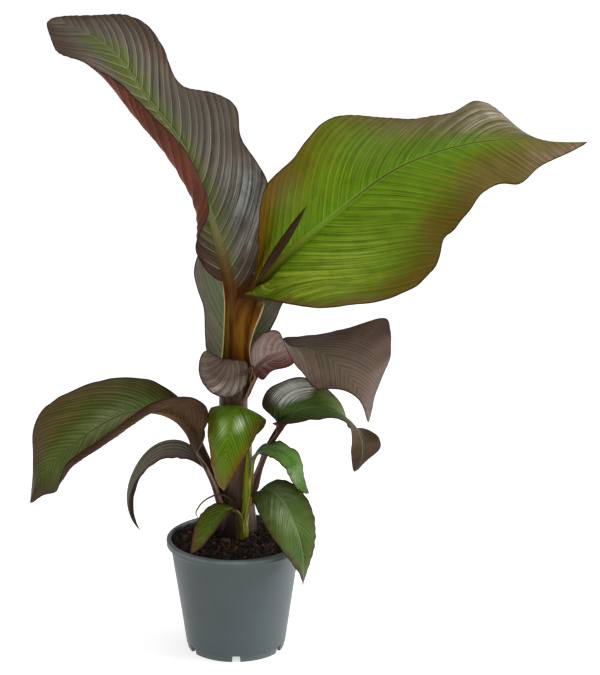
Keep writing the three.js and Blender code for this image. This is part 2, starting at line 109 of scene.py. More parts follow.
# Leaves: the solids' rule, on a finer grid and with thin edges that the solids leave out.
# The whole leaf: foot is where its stalk leaves the stem, climb, heading and roll give the rib's direction
# and the blade's tilt about it in degrees from foot to tip, stalk is the stalk's share of the length,
# girth its radius, sheet the blade's thickness, and detail the stations along the leaf and the columns
# of each half.
# A half: width and where it is widest, full: how blunt it is, fold and curl: its turn at the rib and
# towards the margin in degrees, wave: count, start, height and widening of the margin's waves, trim:
# share of the width. Thin edges are wing: edge of the stalk, hem: turn of the outer margin in degrees,
# sweep: how far the margin leans back along the rib, cup: turn and lean at the base alone.
# veins: distance between the side veins, their slope at the base, its gain to the tip, their bend, and
# the height of the pleats; plain_veins slope one way over both halves, lengthwise ones follow the margin.
LEAVES = {
    "leaf_upper_right": dict(
        foot=[12, 1, 399], length=636, stalk=0.168, girth=11, detail=[330, 38], sheet=1.0,
        climb=[100, 72, 42, 38, 36, 20, 8, -6, 0], heading=[25, 15, 10, 10], roll=[45, 48, 50, 45],
        left=dict(width=104, widest=0.47, full=0.55, fold=[90, 35, -20, -25, -80], curl=[20, 0, -10],
                  wave=[3, 0.86, 5, 0.18], wing=8,
                  trim=[1.1, 0.82, 1, 1.12, 1.18, 1.18, 1.08, 1.01, 0.93, 0.93, 0.95, 0.86, 1.03, 1.08,
                        1.02, 1, 1]),
        right=dict(width=142, widest=0.38, full=0.62, fold=[20, 5, 8, 5, -10], curl=[5, 0, -10],
                   wave=[4, 0.75, 5, 0], wing=12, cup=[120, 30],
                   trim=[0.5, 0.34, 1, 1.08, 1.1, 1.13, 1.14, 1.08, 0.96, 0.95, 0.9, 0.77, 0.78, 1, 0.82,
                         0.77, 0.8]),
        veins=[14, 0.75, 0.5, 0.35, 1.8]),
    "leaf_upper_left": dict(
        foot=[-6, 9, 399], length=581, stalk=0.21, girth=10, detail=[330, 38], sheet=1.0,
        climb=[90, 92, 74, 72, 62, 46, 52, 22, 10], heading=[150, 155, 150], roll=[-30, -30, -15],
        left=dict(width=76, widest=0.6, full=0.5, fold=[-20, -8, 5, 3, 0, 0, 0, -5, 0],
                  curl=[20, 50, 230, 208, 160, 130, 60, 20, 0],
                  trim=[1, 0.9, 1, 1.08, 1.05, 1.03, 1, 1, 0.5]),
        right=dict(width=86, widest=0.3, full=0.3, fold=[45, 10, 0, 0, 0], curl=[10, 0, 0],
                   wave=[4, 0.3, 4, 0], wing=26,
                   trim=[0.8, 0.82, 0.88, 0.98, 1.03, 1.02, 1.02, 1.22, 1.12, 0.84, 0.88, 1.05, 1.3, 1.65,
                         1.8, 1.35, 1.2]),
        veins=[17, 0.8, 0.4, 0.4, 2.3]),
    "leaf_back": dict(
        foot=[2, 26, 326], length=434, stalk=0.11, girth=9, detail=[240, 28], sheet=0.9,
        climb=[96, 80, 74, 54, 16, -18, -48], heading=[80, 62, 45], roll=[0, -5, -10],
        left=dict(width=59, widest=0.35, full=0.4, fold=[0, 10, 20, 10],
                  trim=[1, 0.95, 0.93, 1.3, 1.2, 1.05, 1, 1, 1]),
        right=dict(width=66, widest=0.4, full=0.4, fold=[20, 0, -10, 0],
                   trim=[0.7, 0.76, 0.92, 1.1, 1.1, 1, 1, 1, 1]),
        veins=[10, 0.8, 0.5, 0.4, 0.8]),
    "leaf_side_right": dict(
        foot=[13, 4, 366], length=267, stalk=0.15, girth=7, detail=[220, 30], sheet=0.9,
        climb=[66, 48, 12, -26, -52, -88], heading=[-10, -25, -28, -20], roll=[30, 28, 32, 20],
        left=dict(width=86, widest=0.66, full=0.6, wing=9,
                  sweep=[4, 8, 4, -6, 22, 14, 5, 0, 0, 0, 0, 0, 0, 0, 0, 0, 0],
                  fold=[-185, -175, -150, -60, -14, -22, -26, -22, -18, -16, -15, -15, -15, -17, -20,
                        -25, -30],
                  trim=[1.3, 1.05, 0.5, 0.62, 0.54, 0.56, 0.76, 0.92, 1.14, 1.5, 1.32, 1.15, 0.98, 0.68,
                        0.45, 0.35, 0.3]),
        right=dict(width=58, widest=0.42, full=0.45, fold=[85, 75, 57, 25, 5, -5, -5, 0, 0],
                   curl=[110, 120, 94, 34, 10, 0, 0, 0, 0],
                   trim=[1, 0.84, 0.74, 0.9, 0.84, 0.88, 0.44, 0.2, 0.3]),
        veins=[10, 0.8, 0.5, 0.4, 1.2]),
    "leaf_collar": dict(
        foot=[22, -8, 402], length=95, stalk=0.04, girth=3, detail=[120, 30], sheet=0.8, plain_veins=True,
        climb=[-8, -12, 24, 62, 96], heading=[-135, -158, -185], roll=[-95, -80, -55],
        left=dict(width=26, widest=0.45, full=0.4, fold=[-5, 10, 30], curl=[10]),
        right=dict(width=28, widest=0.4, full=0.35, fold=[12], curl=[-10]),
        veins=[10, 0.3, 0, 0.3, 0.9]),
    "leaf_low_left": dict(
        foot=[-13, 14, 207], length=415, stalk=0.27, girth=11, detail=[260, 30], sheet=0.9,
        climb=[70, 62, 50, 2, -26, -40, -78], heading=[205, 210, 205, 195], roll=[-35, -40, -38, -30],
        left=dict(width=56, widest=0.45, full=0.35, fold=[100, 60, 30, 20, 0], curl=[10, 20, 20],
                  hem=[0, 0, 30, 130, 170, 170, 120, 0, 0], wing=12,
                  trim=[1, 1.08, 1.15, 1.23, 1.3, 1.24, 1.18, 1.16, 1.15, 1.14, 1.12, 1.07, 1.1, 1.28,
                        1.25, 0.75, 0.4]),
        right=dict(width=59, widest=0.52, full=0.45, fold=[20, 5, -5, -5, -40], wing=12,
                   trim=[0.7, 0.75, 0.86, 1, 1.14, 1.26, 1.2, 0.6, 0.3]),
        veins=[9, 0.8, 0.5, 0.4, 0.8]),
    "leaf_arching": dict(
        foot=[-15, 34, 205], length=290, stalk=0.12, girth=8, detail=[200, 20], sheet=0.8, lengthwise=True,
        climb=[80, 56, 52, 0, -46, -70, -98, -132], heading=[200, 192, 195], roll=[0],
        left=dict(width=30, widest=0.25, full=0.6, fold=[-50], trim=[0.3, 0.5, 0.85, 1, 1, 1, 1, 1, 1]),
        right=dict(width=28, widest=0.35, full=0.5, fold=[-55], trim=[0.3, 0.5, 0.85, 1, 1, 1, 1, 1, 1]),
        veins=[5, 1, 0.5, 0.4, 0.4]),
    "leaf_right_glossy": dict(
        foot=[21, 18, 226], length=310, stalk=0.36, girth=9, detail=[220, 26], sheet=0.8,
        climb=[70, 66, 56, 42, 4, -32, -84, -132], heading=[-40, -30, -20, -40], roll=[25, 30, 25, 10],
        left=dict(width=54, widest=0.45, full=0.3, fold=[90, 5, -30, -60, -20, -10], wing=4,
                  trim=[1.3, 1.24, 1.17, 1.24, 1.14, 1.02, 0.92, 0.88, 0.92, 0.97, 1, 1.03, 1.05, 1.14,
                        1.1, 0.4, 0.3]),
        right=dict(width=46, widest=0.35, full=0.4, fold=[50, 15, 20, 40, 10, 0], wing=4,
                   trim=[1, 1, 0.85, 0.85, 0.9, 1, 1, 1, 1]),
        veins=[8, 0.8, 0.5, 0.4, 0.4]),
    "leaf_low_right": dict(
        foot=[18, 14, 203], length=215, stalk=0.16, girth=5.5, detail=[200, 24], sheet=0.8,
        climb=[52, 32, -8, -46, -68, -84, -100], heading=[-55, -48, -25], roll=[10, 15, -10],
        left=dict(width=31, widest=0.45, full=0.5, fold=[20, 8, 0], curl=[-10]),
        right=dict(width=42, widest=0.45, full=0.55, fold=[15, 2, 20], curl=[-10]),
        veins=[7, 0.9, 0.5, 0.4, 0.4]),
    "leaf_sprout_front": dict(
        foot=[16, 1, 215], length=284, stalk=0.3, girth=4.5, detail=[220, 24], sheet=0.8,
        climb=[102, 98, 86, 32, -52, -76, -90], heading=[-95, -108, -120], roll=[-10, -5, 15],
        left=dict(width=42, widest=0.4, full=0.55, fold=[-10, -10, 0, 20], curl=[-25]),
        right=dict(width=42, widest=0.4, full=0.25, fold=[10, -5, -10, -5], curl=[-22]),
        veins=[7, 0.9, 0.5, 0.4, 0.8]),
    "leaf_sprout_right": dict(
        foot=[17, -5, 203], length=193, stalk=0.37, girth=3.5, detail=[160, 20], sheet=0.7,
        climb=[78, 84, 80, 20, -24, -72, -36], heading=[-15, -28, -25], roll=[5, 8, 5],
        left=dict(width=21, widest=0.45, full=0.5, fold=[20, 0, -10]),
        right=dict(width=22, widest=0.45, full=0.5, fold=[10, 0, -5]),
        veins=[6, 0.9, 0.5, 0.4, 0.3]),
    "leaf_low_front": dict(
        foot=[9, -2.5, 184], length=120, stalk=0.18, girth=3.5, detail=[130, 20], sheet=0.7,
        climb=[82, 28, -20, -42, -50, -36], heading=[-130, -138, -150], roll=[-10, -15, -10],
        left=dict(width=11, widest=0.45, full=0.5, fold=[20, 5, -5]),
        right=dict(width=24, widest=0.45, full=0.55, fold=[5, 2, -5]),
        veins=[6, 0.9, 0.5, 0.4, 0.3]),
}
SLOTS = {
    "bronze_leaf": ["leaf_upper_left", "leaf_side_right", "leaf_collar", "leaf_low_left", "leaf_arching"],
    "green_leaf": ["leaf_upper_right", "leaf_back", "leaf_right_glossy", "leaf_low_right",
                   "leaf_sprout_front", "leaf_sprout_right", "leaf_low_front"],
}
NO_WAVE, NO_CUP = [0, 0, 0, 0], [0, 0]

# Spans in shares of the blade's length: where a half takes up its fold, where the stalk's wing swells
# and fades, and where a cupped base turns over and leans back; then where across a half its hem starts
FOLD_SPAN = [-0.06, 0.03]
WING_SPAN = [-0.19, 0, 0, 0.08]
CUP_TURN_SPAN = [0, 0.018, 0.018, 0.072]
CUP_SWEEP_SPAN = [0, 0.021, 0.078, 0.162]
HEM_START = 0.7
# Grid of a leaf: columns crowd towards the rib by a power, the last but one lies just inside the margin,
# sections and rib are summed in small steps, and stations crowd at the base of a swept blade
COLUMN_POWER = 1.25
MARGIN_COLUMN = 0.985
ARC_STEPS = 8
RIB_STEPS = 6
CROWDING, CROWDING_REACH = 4, 0.04
# Stalk and rib: how far the stalk runs on into the stem, its flare and its tapered foot there, the share
# of the keel left at the tip and where that fades, and the hollow of the upper side
STALK_RUN_IN = 22
STALK_FLARE, FLARE_SPAN = 0.3, [-10, 40]
FOOT_TAPER, FOOT_SPAN = 0.5, [-STALK_RUN_IN, 4]
KEEL_AT_TIP, KEEL_FADES = 0.2, [0.8, 1]
STALK_HOLLOW, RIB_HOLLOW, HOLLOW_SPAN = 0.55, 0.22, [-0.05, 0.25]
# Unevenness: the waves of a ragged line, share of the width, lift of the margin and where that sets in,
# drift of the veins for a given spacing, how far lengthwise veins shift along the blade, and where the
# pleats set in, how round and how high they are, and how they fade to the margin
RAGGED_WAVES, RAGGED_COUNTS, RAGGED_HEIGHT = 7, [3, 15], 1.6
RAGGED_WIDTH, RAGGED_LIFT, RAGGED_SETS_IN = 0.005, 0.8, 0.1
VEIN_DRIFT, DRIFT_SPACING, LENGTHWISE_SHIFT = 2.2, 12, 6
PLEAT_SPAN, PLEAT_POWER, PLEAT_MIDDLE, PLEAT_FADE = [0.03, 0.14], 0.7, 0.6, 0.5
# Seeds: of the first leaf, the step from leaf to leaf, and what the margin's lift and the veins add
FIRST_SEED, SEED_STEP, LIFT_SEED, VEIN_SEED = 100, 10, 50, 70


def smooth(value, low, high):
    """Smooth step: 0 up to low, 1 from high, and 3f^2 - 2f^3 of the share f between them."""
    f = np.clip((np.asarray(value, float) - low) / (high - low), 0, 1)
    return f * f * (3 - 2 * f)


def swelling(value, start, full, fade, end):
    """Smooth swell: from 0 at the start up to 1 when full, and from where it fades down to 0 at the end."""
    return smooth(value, start, full) * (1 - smooth(value, fade, end))


def keyed(keys, t):
    """Curve through evenly spaced keys at shares t: the cubic through each pair whose slope at a key is
    half the difference of its neighbours, with the row of keys mirrored past both ends."""
    keys = np.asarray(keys, float)
    t = np.asarray(t, float)
    if len(keys) == 1:
        return np.broadcast_to(keys[0], t.shape + keys.shape[1:]).copy()
    row = np.concatenate([[2 * keys[0] - keys[1]], keys, [2 * keys[-1] - keys[-2]]])
    place = np.clip(t, 0, 1) * (len(keys) - 1)
    i = np.minimum(place.astype(int), len(keys) - 2)
    f = (place - i).reshape(t.shape + (1,) * (keys.ndim - 1))
    a, b, c, d = row[i], row[i + 1], row[i + 2], row[i + 3]
    return b + f * ((c - a) + f * (2 * a - 5 * b + 4 * c - d + f * (3 * (b - c) + d - a))) / 2


def ragged(u, seed):
    """Uneven line of height about 1: the sum of sines of u, their counts and starts drawn by a seed."""
    draw = np.random.default_rng(seed)
    counts = draw.uniform(*RAGGED_COUNTS, RAGGED_WAVES)
    starts = draw.uniform(0, 1, RAGGED_WAVES)
    heights = RAGGED_HEIGHT / np.sqrt(RAGGED_WAVES * counts / RAGGED_COUNTS[0])
    return np.sin(2 * np.pi * (np.multiply.outer(u, counts) + starts)) @ heights


def angle_apart(theta, turns):
    """Least angle from each of the turns to every theta."""
    return np.abs((theta - turns[:, None] + np.pi) % (2 * np.pi) - np.pi)


def grid_quads(rows, columns, wrap=False):
    """Quads between the neighbours of a grid, row by row; with wrap, the last column meets the first."""
    i, j = np.meshgrid(np.arange(rows - 1), np.arange(columns if wrap else columns - 1), indexing="ij")
    k = (j + 1) % columns
    return np.stack([i * columns + j, i * columns + k, (i + 1) * columns + k, (i + 1) * columns + j],
                    -1).reshape(-1, 4)


def closed_rings(rings):
    """Closed skin over rings of equal counts: quads between rings, and a fan to the middle of each end."""
    rows, sides = rings.shape[:2]
    points = np.concatenate([rings.reshape(-1, 3), [rings[0].mean(0), rings[-1].mean(0)]])
    j = np.arange(sides)
    k = (j + 1) % sides
    last = (rows - 1) * sides
    foot, tip = np.full(sides, rows * sides), np.full(sides, rows * sides + 1)
    fans = np.concatenate([np.stack([foot, k, j], -1), np.stack([tip, last + j, last + k], -1)])
    return points, grid_quads(rows, sides, wrap=True), fans


def ring_notes(*values):
    """Notes for the points of closed rings: values for each point, and for the middles of both ends those of
    the first point and the last."""
    notes = np.stack(values, -1).reshape(-1, len(values))
    return np.concatenate([notes, notes[:1], notes[-1:]])


def put_down(name, node, slot, points, quads, triangles, finishes, finish_of=None, **attributes):
    """Puts arrays of corners and faces into a mesh, with smooth faces, point attributes and finishes,
    and hands the piece to the frame."""
    mesh = bpy.data.meshes.new(name)
    triangles = np.asarray(triangles, int).reshape(-1, 3)
    corners = np.concatenate([np.ravel(quads), np.ravel(triangles)]).astype(np.int32)
    starts = np.concatenate([4 * np.arange(len(quads)), 4 * len(quads) + 3 * np.arange(len(triangles))])
    mesh.vertices.add(len(points))
    mesh.vertices.foreach_set("co", (np.asarray(points) * METRE).astype(np.float32).ravel())
    mesh.loops.add(len(corners))
    mesh.loops.foreach_set("vertex_index", corners)
    mesh.polygons.add(len(starts))
    mesh.polygons.foreach_set("loop_start", starts.astype(np.int32))
    mesh.polygons.foreach_set("use_smooth", np.ones(len(starts), bool))
    for finish in finishes:
        mesh.materials.append(finish)
    if finish_of is not None:
        mesh.polygons.foreach_set("material_index", np.asarray(finish_of, np.int32))
    mesh.update(calc_edges=True)
    for key, values in attributes.items():
        layer = mesh.attributes.new(key, "FLOAT_VECTOR", "POINT")
        layer.data.foreach_set("vector", np.asarray(values, np.float32).ravel())
    piece = bpy.data.objects.new(name, mesh)
    bpy.context.collection.objects.link(piece)
    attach(piece, BODY)
    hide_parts(node)


# Leaves


def rib_directions(leaf, t):
    """Unit direction of the rib at shares t: climb degrees above the level, towards the heading."""
    climb = np.radians(keyed(leaf["climb"], t))
    heading = np.radians(keyed(leaf["heading"], t))
    return np.stack([np.cos(climb) * np.cos(heading), np.cos(climb) * np.sin(heading), np.sin(climb)], -1)


def blade_sides(leaf, t):
    """Left and upper directions of the blade: the level normal of the rib, and the normal of both, turned
    about the rib by the roll."""
    heading = np.radians(keyed(leaf["heading"], t))
    roll = np.radians(keyed(leaf["roll"], t))[:, None]
    level = np.stack([-np.sin(heading), np.cos(heading), np.zeros_like(heading)], -1)
    above = np.cross(rib_directions(leaf, t), level)
    return level * np.cos(roll) + above * np.sin(roll), above * np.cos(roll) - level * np.sin(roll)


def rib_points(leaf, t):
    """Points of the rib: its foot plus the sum of small steps along its direction, taken at mid step."""
    steps = np.linspace(t[0], t[-1], (len(t) - 1) * RIB_STEPS + 1)
    middles = (steps[1:] + steps[:-1]) / 2
    walk = np.cumsum(rib_directions(leaf, middles) * np.diff(steps)[:, None], 0) * leaf["length"]
    walk = np.concatenate([np.zeros((1, 3)), walk])
    return np.stack([foot + np.interp(t, steps, run) - np.interp(0, steps, run)
                     for foot, run in zip(leaf["foot"], walk.T)], -1)


def blade_share(leaf, t):
    """Share of the blade that is passed at share t of the whole leaf; below 0 on the stalk."""
    return (t - leaf["stalk"]) / (1 - leaf["stalk"])


def stations(leaf):
    """Shares along the whole leaf from below its foot to its tip, closer together at the base of a blade
    with a swept margin: there the count gains a bell curve of the distance from the base."""
    even = np.linspace(-STALK_RUN_IN / leaf["length"], 1, leaf["detail"][0] + 1)
    swept = any(key in leaf[hand] for key in ("cup", "sweep") for hand in ("left", "right"))
    crowding = 1 + CROWDING * swept * np.exp(-((even - leaf["stalk"]) / CROWDING_REACH) ** 2)
    passed = np.cumsum(crowding) - crowding[0]
    return np.interp(np.linspace(0, passed[-1], len(even)), passed, even)


def keel_radius(leaf, t):
    """Radius of the stalk and of the rib's round keel: the girth tapers to the tip and fades there, flares
    towards the stem, and tapers again where the foot runs on into it."""
    run = t * leaf["length"]
    flare = 1 + STALK_FLARE * (1 - smooth(run, *FLARE_SPAN))
    flare = flare * (1 - FOOT_TAPER * (1 - smooth(run, *FOOT_SPAN)))
    keel = leaf["girth"] * (1 - (1 - KEEL_AT_TIP) * np.clip(t, 0, 1)) * flare
    return keel * (1 - smooth(t, *KEEL_FADES)) + leaf["sheet"] / 2


def margin_wave(half, u):
    """Waves of the margin at shares u of the blade: a sine that fades towards both ends."""
    count, start = half.get("wave", NO_WAVE)[:2]
    return np.sin(2 * np.pi * (count * u + start)) * np.sqrt(4 * u * (1 - u))


def half_width(half, share, keel, seed):
    """Width of a half: its widest width times (u / widest)^full ((1 - u) / (1 - widest))^fall, waved,
    trimmed and a little ragged, and nowhere less than the keel with the stalk's wing."""
    u = np.clip(share, 0, 1)
    widest, full, widening = half["widest"], half["full"], half.get("wave", NO_WAVE)[3]
    outline = (u / widest) ** full * ((1 - u) / (1 - widest)) ** (full * (1 - widest) / widest)
    waved = 1 + widening * margin_wave(half, u)
    width = half["width"] * outline * waved * keyed(half.get("trim", [1]), u)
    wing = half.get("wing", 0) * swelling(share, *WING_SPAN)
    return np.maximum(keel + wing, width * (1 + RAGGED_WIDTH * ragged(u, seed)))


def half_sheet(leaf, half, t, keel, seed):
    """One half of the blade from the rib to the margin. At share v across it the half has turned by
    fold + curl v^2, plus the hem past where that starts, so its section is the running sum of steps at that
    angle. The margin's waves are lifted by v^2, and a swept margin leans back along the rib by v^1.5."""
    share = blade_share(leaf, t)
    u = np.clip(share, 0, 1)
    width = half_width(half, share, keel, seed)
    opening = smooth(share, *FOLD_SPAN)
    cup_turn, cup_sweep = half.get("cup", NO_CUP)
    fold, curl, hem = (np.radians(keyed(half.get(key, [0]), u)) * opening for key in ("fold", "curl", "hem"))
    fold = fold + np.radians(cup_turn) * swelling(share, *CUP_TURN_SPAN)
    back = cup_sweep * swelling(share, *CUP_SWEEP_SPAN) + keyed(half.get("sweep", [0]), u) * opening

    def turned(v):
        """Angle of the section at shares v across, for every station."""
        station = (slice(None),) + (None,) * v.ndim
        return fold[station] + curl[station] * v ** 2 + hem[station] * smooth(v, HEM_START, 1)

    v = np.append(MARGIN_COLUMN * np.linspace(0, 1, leaf["detail"][1]) ** COLUMN_POWER, 1)
    part = (np.arange(ARC_STEPS) + 0.5) / ARC_STEPS
    angle = turned(v[:-1, None] + np.diff(v)[:, None] * part)
    step = width[:, None] * np.diff(v)
    nothing = np.zeros((len(t), 1))
    along = np.concatenate([nothing, np.cumsum(np.cos(angle).mean(2) * step, 1)], 1)
    above = np.concatenate([nothing, np.cumsum(np.sin(angle).mean(2) * step, 1)], 1)
    lift = half.get("wave", NO_WAVE)[2] * margin_wave(half, u)[:, None] * v ** 2
    crimp = RAGGED_LIFT * ragged(u, seed + LIFT_SEED) * smooth(u, 0, RAGGED_SETS_IN)
    crimp = crimp[:, None] * v ** 3
    return dict(along=along, above=above + lift + crimp * width[:, None] / half["width"], turn=turned(v),
                reach=width[:, None] * v, across=np.broadcast_to(v, along.shape),
                back=back[:, None] * v ** 1.5)


def vein_lines(leaf, s, u, reach, across, seed):
    """Side veins as lines of equal q: at s along the rib and x out from it, q is
    s - x (slope + bend x / width), with a slope that grows along the blade. Plain ones slope one way
    over both halves, lengthwise ones keep their share across. All of them drift a little."""
    spacing, slope, gain, bend, _ = leaf["veins"]
    far = np.abs(reach)
    broad = max(leaf["left"]["width"], leaf["right"]["width"])
    if leaf.get("lengthwise"):
        vein = across * broad + LENGTHWISE_SHIFT * u
    elif leaf.get("plain_veins"):
        vein = s - reach * slope - far * bend * far / broad
    else:
        vein = s - far * (slope + gain * np.clip(u, 0, 1) + bend * far / broad)
    return vein + VEIN_DRIFT * ragged(vein / leaf["length"], seed) * spacing / DRIFT_SPACING


def shell_quads(rows, columns):
    """Quads of a closed shell of two grids: the upper one, the lower one turned over, and the four rims.
    Also gives the finish of each: the first above, the second below and on the rims."""
    below = rows * columns
    top = grid_quads(rows, columns)
    i = np.arange(rows - 1) * columns
    j = np.arange(columns - 1)
    last = i + columns - 1
    tip = (rows - 1) * columns + j
    rims = np.concatenate([
        np.stack([i, i + columns, below + i + columns, below + i], -1),
        np.stack([last, below + last, below + last + columns, last + columns], -1),
        np.stack([j, below + j, below + j + 1, j + 1], -1),
        np.stack([tip, tip + 1, below + tip + 1, below + tip], -1)])
    finish_of = np.repeat([0, 1], [len(top), len(top) + len(rims)])
    return np.concatenate([top, below + top[:, ::-1], rims]), finish_of


def leaf_shell(leaf, seed):
    """Closed thin shell of a leaf with its stalk. Both faces lie over the same sheet: the upper one half a
    thickness above it less the rib's hollow, the lower one half a thickness below it or on the round
    keel, and the pleats between the side veins move both. Also gives the finish of each face, and the notes
    of each point: its share along, share across and vein, then its length, reach and keel."""
    t = stations(leaf)
    keel = keel_radius(leaf, t)
    left = half_sheet(leaf, leaf["left"], t, keel, seed)
    right = half_sheet(leaf, leaf["right"], t, keel, seed + 1)

    def joined(key, hand):
        """Values of both halves in one row, from the left margin to the right one."""
        return np.concatenate([left[key][:, ::-1], hand * right[key][:, 1:]], 1)

    along, above, turn = joined("along", -1), joined("above", 1), joined("turn", -1)
    reach, across, back = joined("reach", -1), joined("across", -1), joined("back", 1)
    u, s, keel = (np.broadcast_to(values[:, None], along.shape)
                  for values in (blade_share(leaf, t), t * leaf["length"], keel))
    vein = vein_lines(leaf, s, u, reach, across, seed + VEIN_SEED)
    spacing, height = leaf["veins"][0], leaf["veins"][-1]
    far = np.abs(reach)
    beyond = smooth(far - keel, 0, spacing) * (1 - PLEAT_FADE * np.abs(across)) * smooth(u, *PLEAT_SPAN)
    pleat = height * (np.abs(np.sin(np.pi * vein / spacing)) ** PLEAT_POWER - PLEAT_MIDDLE) * beyond
    dip = np.maximum(0, 1 - (far / keel) ** 2)
    hollow = keel * dip * (RIB_HOLLOW + (STALK_HOLLOW - RIB_HOLLOW) * (1 - smooth(u, *HOLLOW_SPAN)))
    round_keel = np.sqrt(np.maximum(0, keel ** 2 - reach ** 2))
    thick = leaf["sheet"] / 2
    rib = rib_points(leaf, t)[:, None] - rib_directions(leaf, t)[:, None] * back[..., None]
    side, upper = (direction[:, None] for direction in blade_sides(leaf, t))

    def face(offset):
        """Points at an offset from the sheet, along its normal."""
        return (rib + side * (along - offset * np.sin(turn))[..., None]
                + upper * (above + offset * np.cos(turn))[..., None]).reshape(-1, 3)

    points = np.concatenate([face(thick - hollow + pleat), face(pleat - np.maximum(thick, round_keel))])
    quads, finish_of = shell_quads(*along.shape)
    blade, span = (np.tile(np.stack(values, -1).reshape(-1, 3), (2, 1))
                   for values in ((u, across, vein), (s, reach, keel)))
    return points, quads, finish_of, blade, span


# Stems, rolled leaf and withered leaf


def sheathed_stem(stem):
    """Upright stem of overlapping leaf sheaths: level circles about keyed middles, closed by a cone. Each
    sheath covers the stem to an angle either side of its heading; the angle grows downwards from its
    stalk, and the radius gains the sheath's thickness inside it. Also gives the distance to the nearest
    edge and the height."""
    t = np.linspace(0, 1 + stem["cone"] / stem["height"], stem["sections"] + 1)
    theta = np.linspace(0, 2 * np.pi, stem["sides"], endpoint=False)
    z = SOIL["level"] - STEM_SUNK + (stem["height"] + STEM_SUNK + CLEARANCE) * t
    taper = np.sqrt(np.clip(1 - smooth(t, 1 - STEM_CLOSES, t[-1] + STEM_TIP), 0, 1))
    radius = keyed(stem["radii"], t)[:, None] * np.ones_like(theta)
    headings, tops = np.asarray(stem["sheaths"], float).T
    apart = angle_apart(theta, np.radians(headings))[:, None, :]
    under = (tops[:, None] - z)[:, :, None]
    widened = smooth(under, SHEATH_SETS_IN, SHEATH_RUN * stem["height"])
    edge = (np.radians(SHEATH_ANGLE + SHEATH_WIDENING * widened) - apart) * radius
    covers = (smooth(edge, *SHEATH_EDGE_SPAN) * smooth(under, *SHEATH_END_SPAN)).sum(0)
    swell = radius + stem["sheath_thickness"] * (covers - covers.mean(1, keepdims=True))
    swell = swell * taper[:, None]
    middles = keyed(stem["middles"], t)
    height = np.broadcast_to(z[:, None], swell.shape)
    rings = np.stack([middles[:, :1] + swell * np.cos(theta), middles[:, 1:] + swell * np.sin(theta), height],
                     -1)
    nearest = np.where(under > SHEATH_SHOWS, np.abs(edge), NO_EDGE).min(0)
    return rings, ring_notes(nearest, height)


def path_frames(middles, t):
    """Points of the curve through the middles, and two normals of its direction, the first of them at a
    right angle to the viewer's depth."""
    points = keyed(middles, t)
    direction = np.gradient(points, axis=0)
    direction /= np.linalg.norm(direction, axis=1, keepdims=True)
    depth = np.array([0.0, 1.0, 0.0])
    side = np.cross(depth, direction)
    side /= np.linalg.norm(side, axis=1, keepdims=True)
    return points, side, np.cross(direction, side)


def rolled_sheet(roll):
    """Leaf rolled up along a path: an oval section whose radius grows by the seam's step once round, so the
    sheet's edge lies on its own first turn; the seam winds about the path, and furrows run along it. Also
    gives the share round the roll and the share along it."""
    t = np.linspace(0, 1, roll["sections"] + 1)
    points, side, front = path_frames(roll["middles"], t)
    t = t[:, None]
    round_share = (np.arange(roll["sides"]) + 0.5) / roll["sides"]
    theta = 2 * np.pi * (round_share + roll["turns"] * t)
    sway = FURROW_SWAY * np.sin(FURROW_BENDS * t)
    furrow = roll["furrows"] * np.sin(2 * np.pi * FURROW_COUNT * round_share + sway)
    swell = keyed(roll["radii"], t) * (1 - roll["seam"] / 2 + roll["seam"] * round_share + furrow)
    rings = (points[:, None] + side[:, None] * (roll["flat"] * swell * np.cos(theta))[..., None]
             + front[:, None] * (swell * np.sin(theta))[..., None])
    return rings, ring_notes(np.broadcast_to(round_share, swell.shape), np.broadcast_to(t, swell.shape),
                             np.zeros_like(swell))


# Pot and soil


def wall_radius(z):
    """Radius of the pot's outer wall: a straight line from the foot to the lip."""
    share = np.asarray(z, float) / (POT["height"] - POT["lip_drop"])
    return POT["foot_radius"] + (POT["wall_top_radius"] - POT["foot_radius"]) * share


def rounded_profile(corners, rounding, spacing):
    """Profile whose corners are rounded: each becomes the parabola that leaves one side and meets the next
    at the rounding's distance. The straight parts get points at the spacing."""
    corners = np.asarray(corners, float)
    before, here, after = corners[:-2], corners[1:-1], corners[2:]
    r = np.asarray(rounding, float)[:, None]
    start = here + (before - here) / np.linalg.norm(before - here, axis=1, keepdims=True) * r
    end = here + (after - here) / np.linalg.norm(after - here, axis=1, keepdims=True) * r
    f = np.linspace(0, 1, CORNER_POINTS)[None, :, None]
    arcs = (1 - f) ** 2 * start[:, None] + 2 * f * (1 - f) * here[:, None] + f ** 2 * end[:, None]
    line = np.concatenate([corners[:1], arcs.reshape(-1, 2), corners[-1:]])
    run = np.concatenate([[0], np.cumsum(np.linalg.norm(np.diff(line, axis=0), axis=1))])
    places = np.union1d(run, np.arange(0, run[-1], spacing))
    return np.stack([np.interp(places, run, line[:, 0]), np.interp(places, run, line[:, 1])], -1)


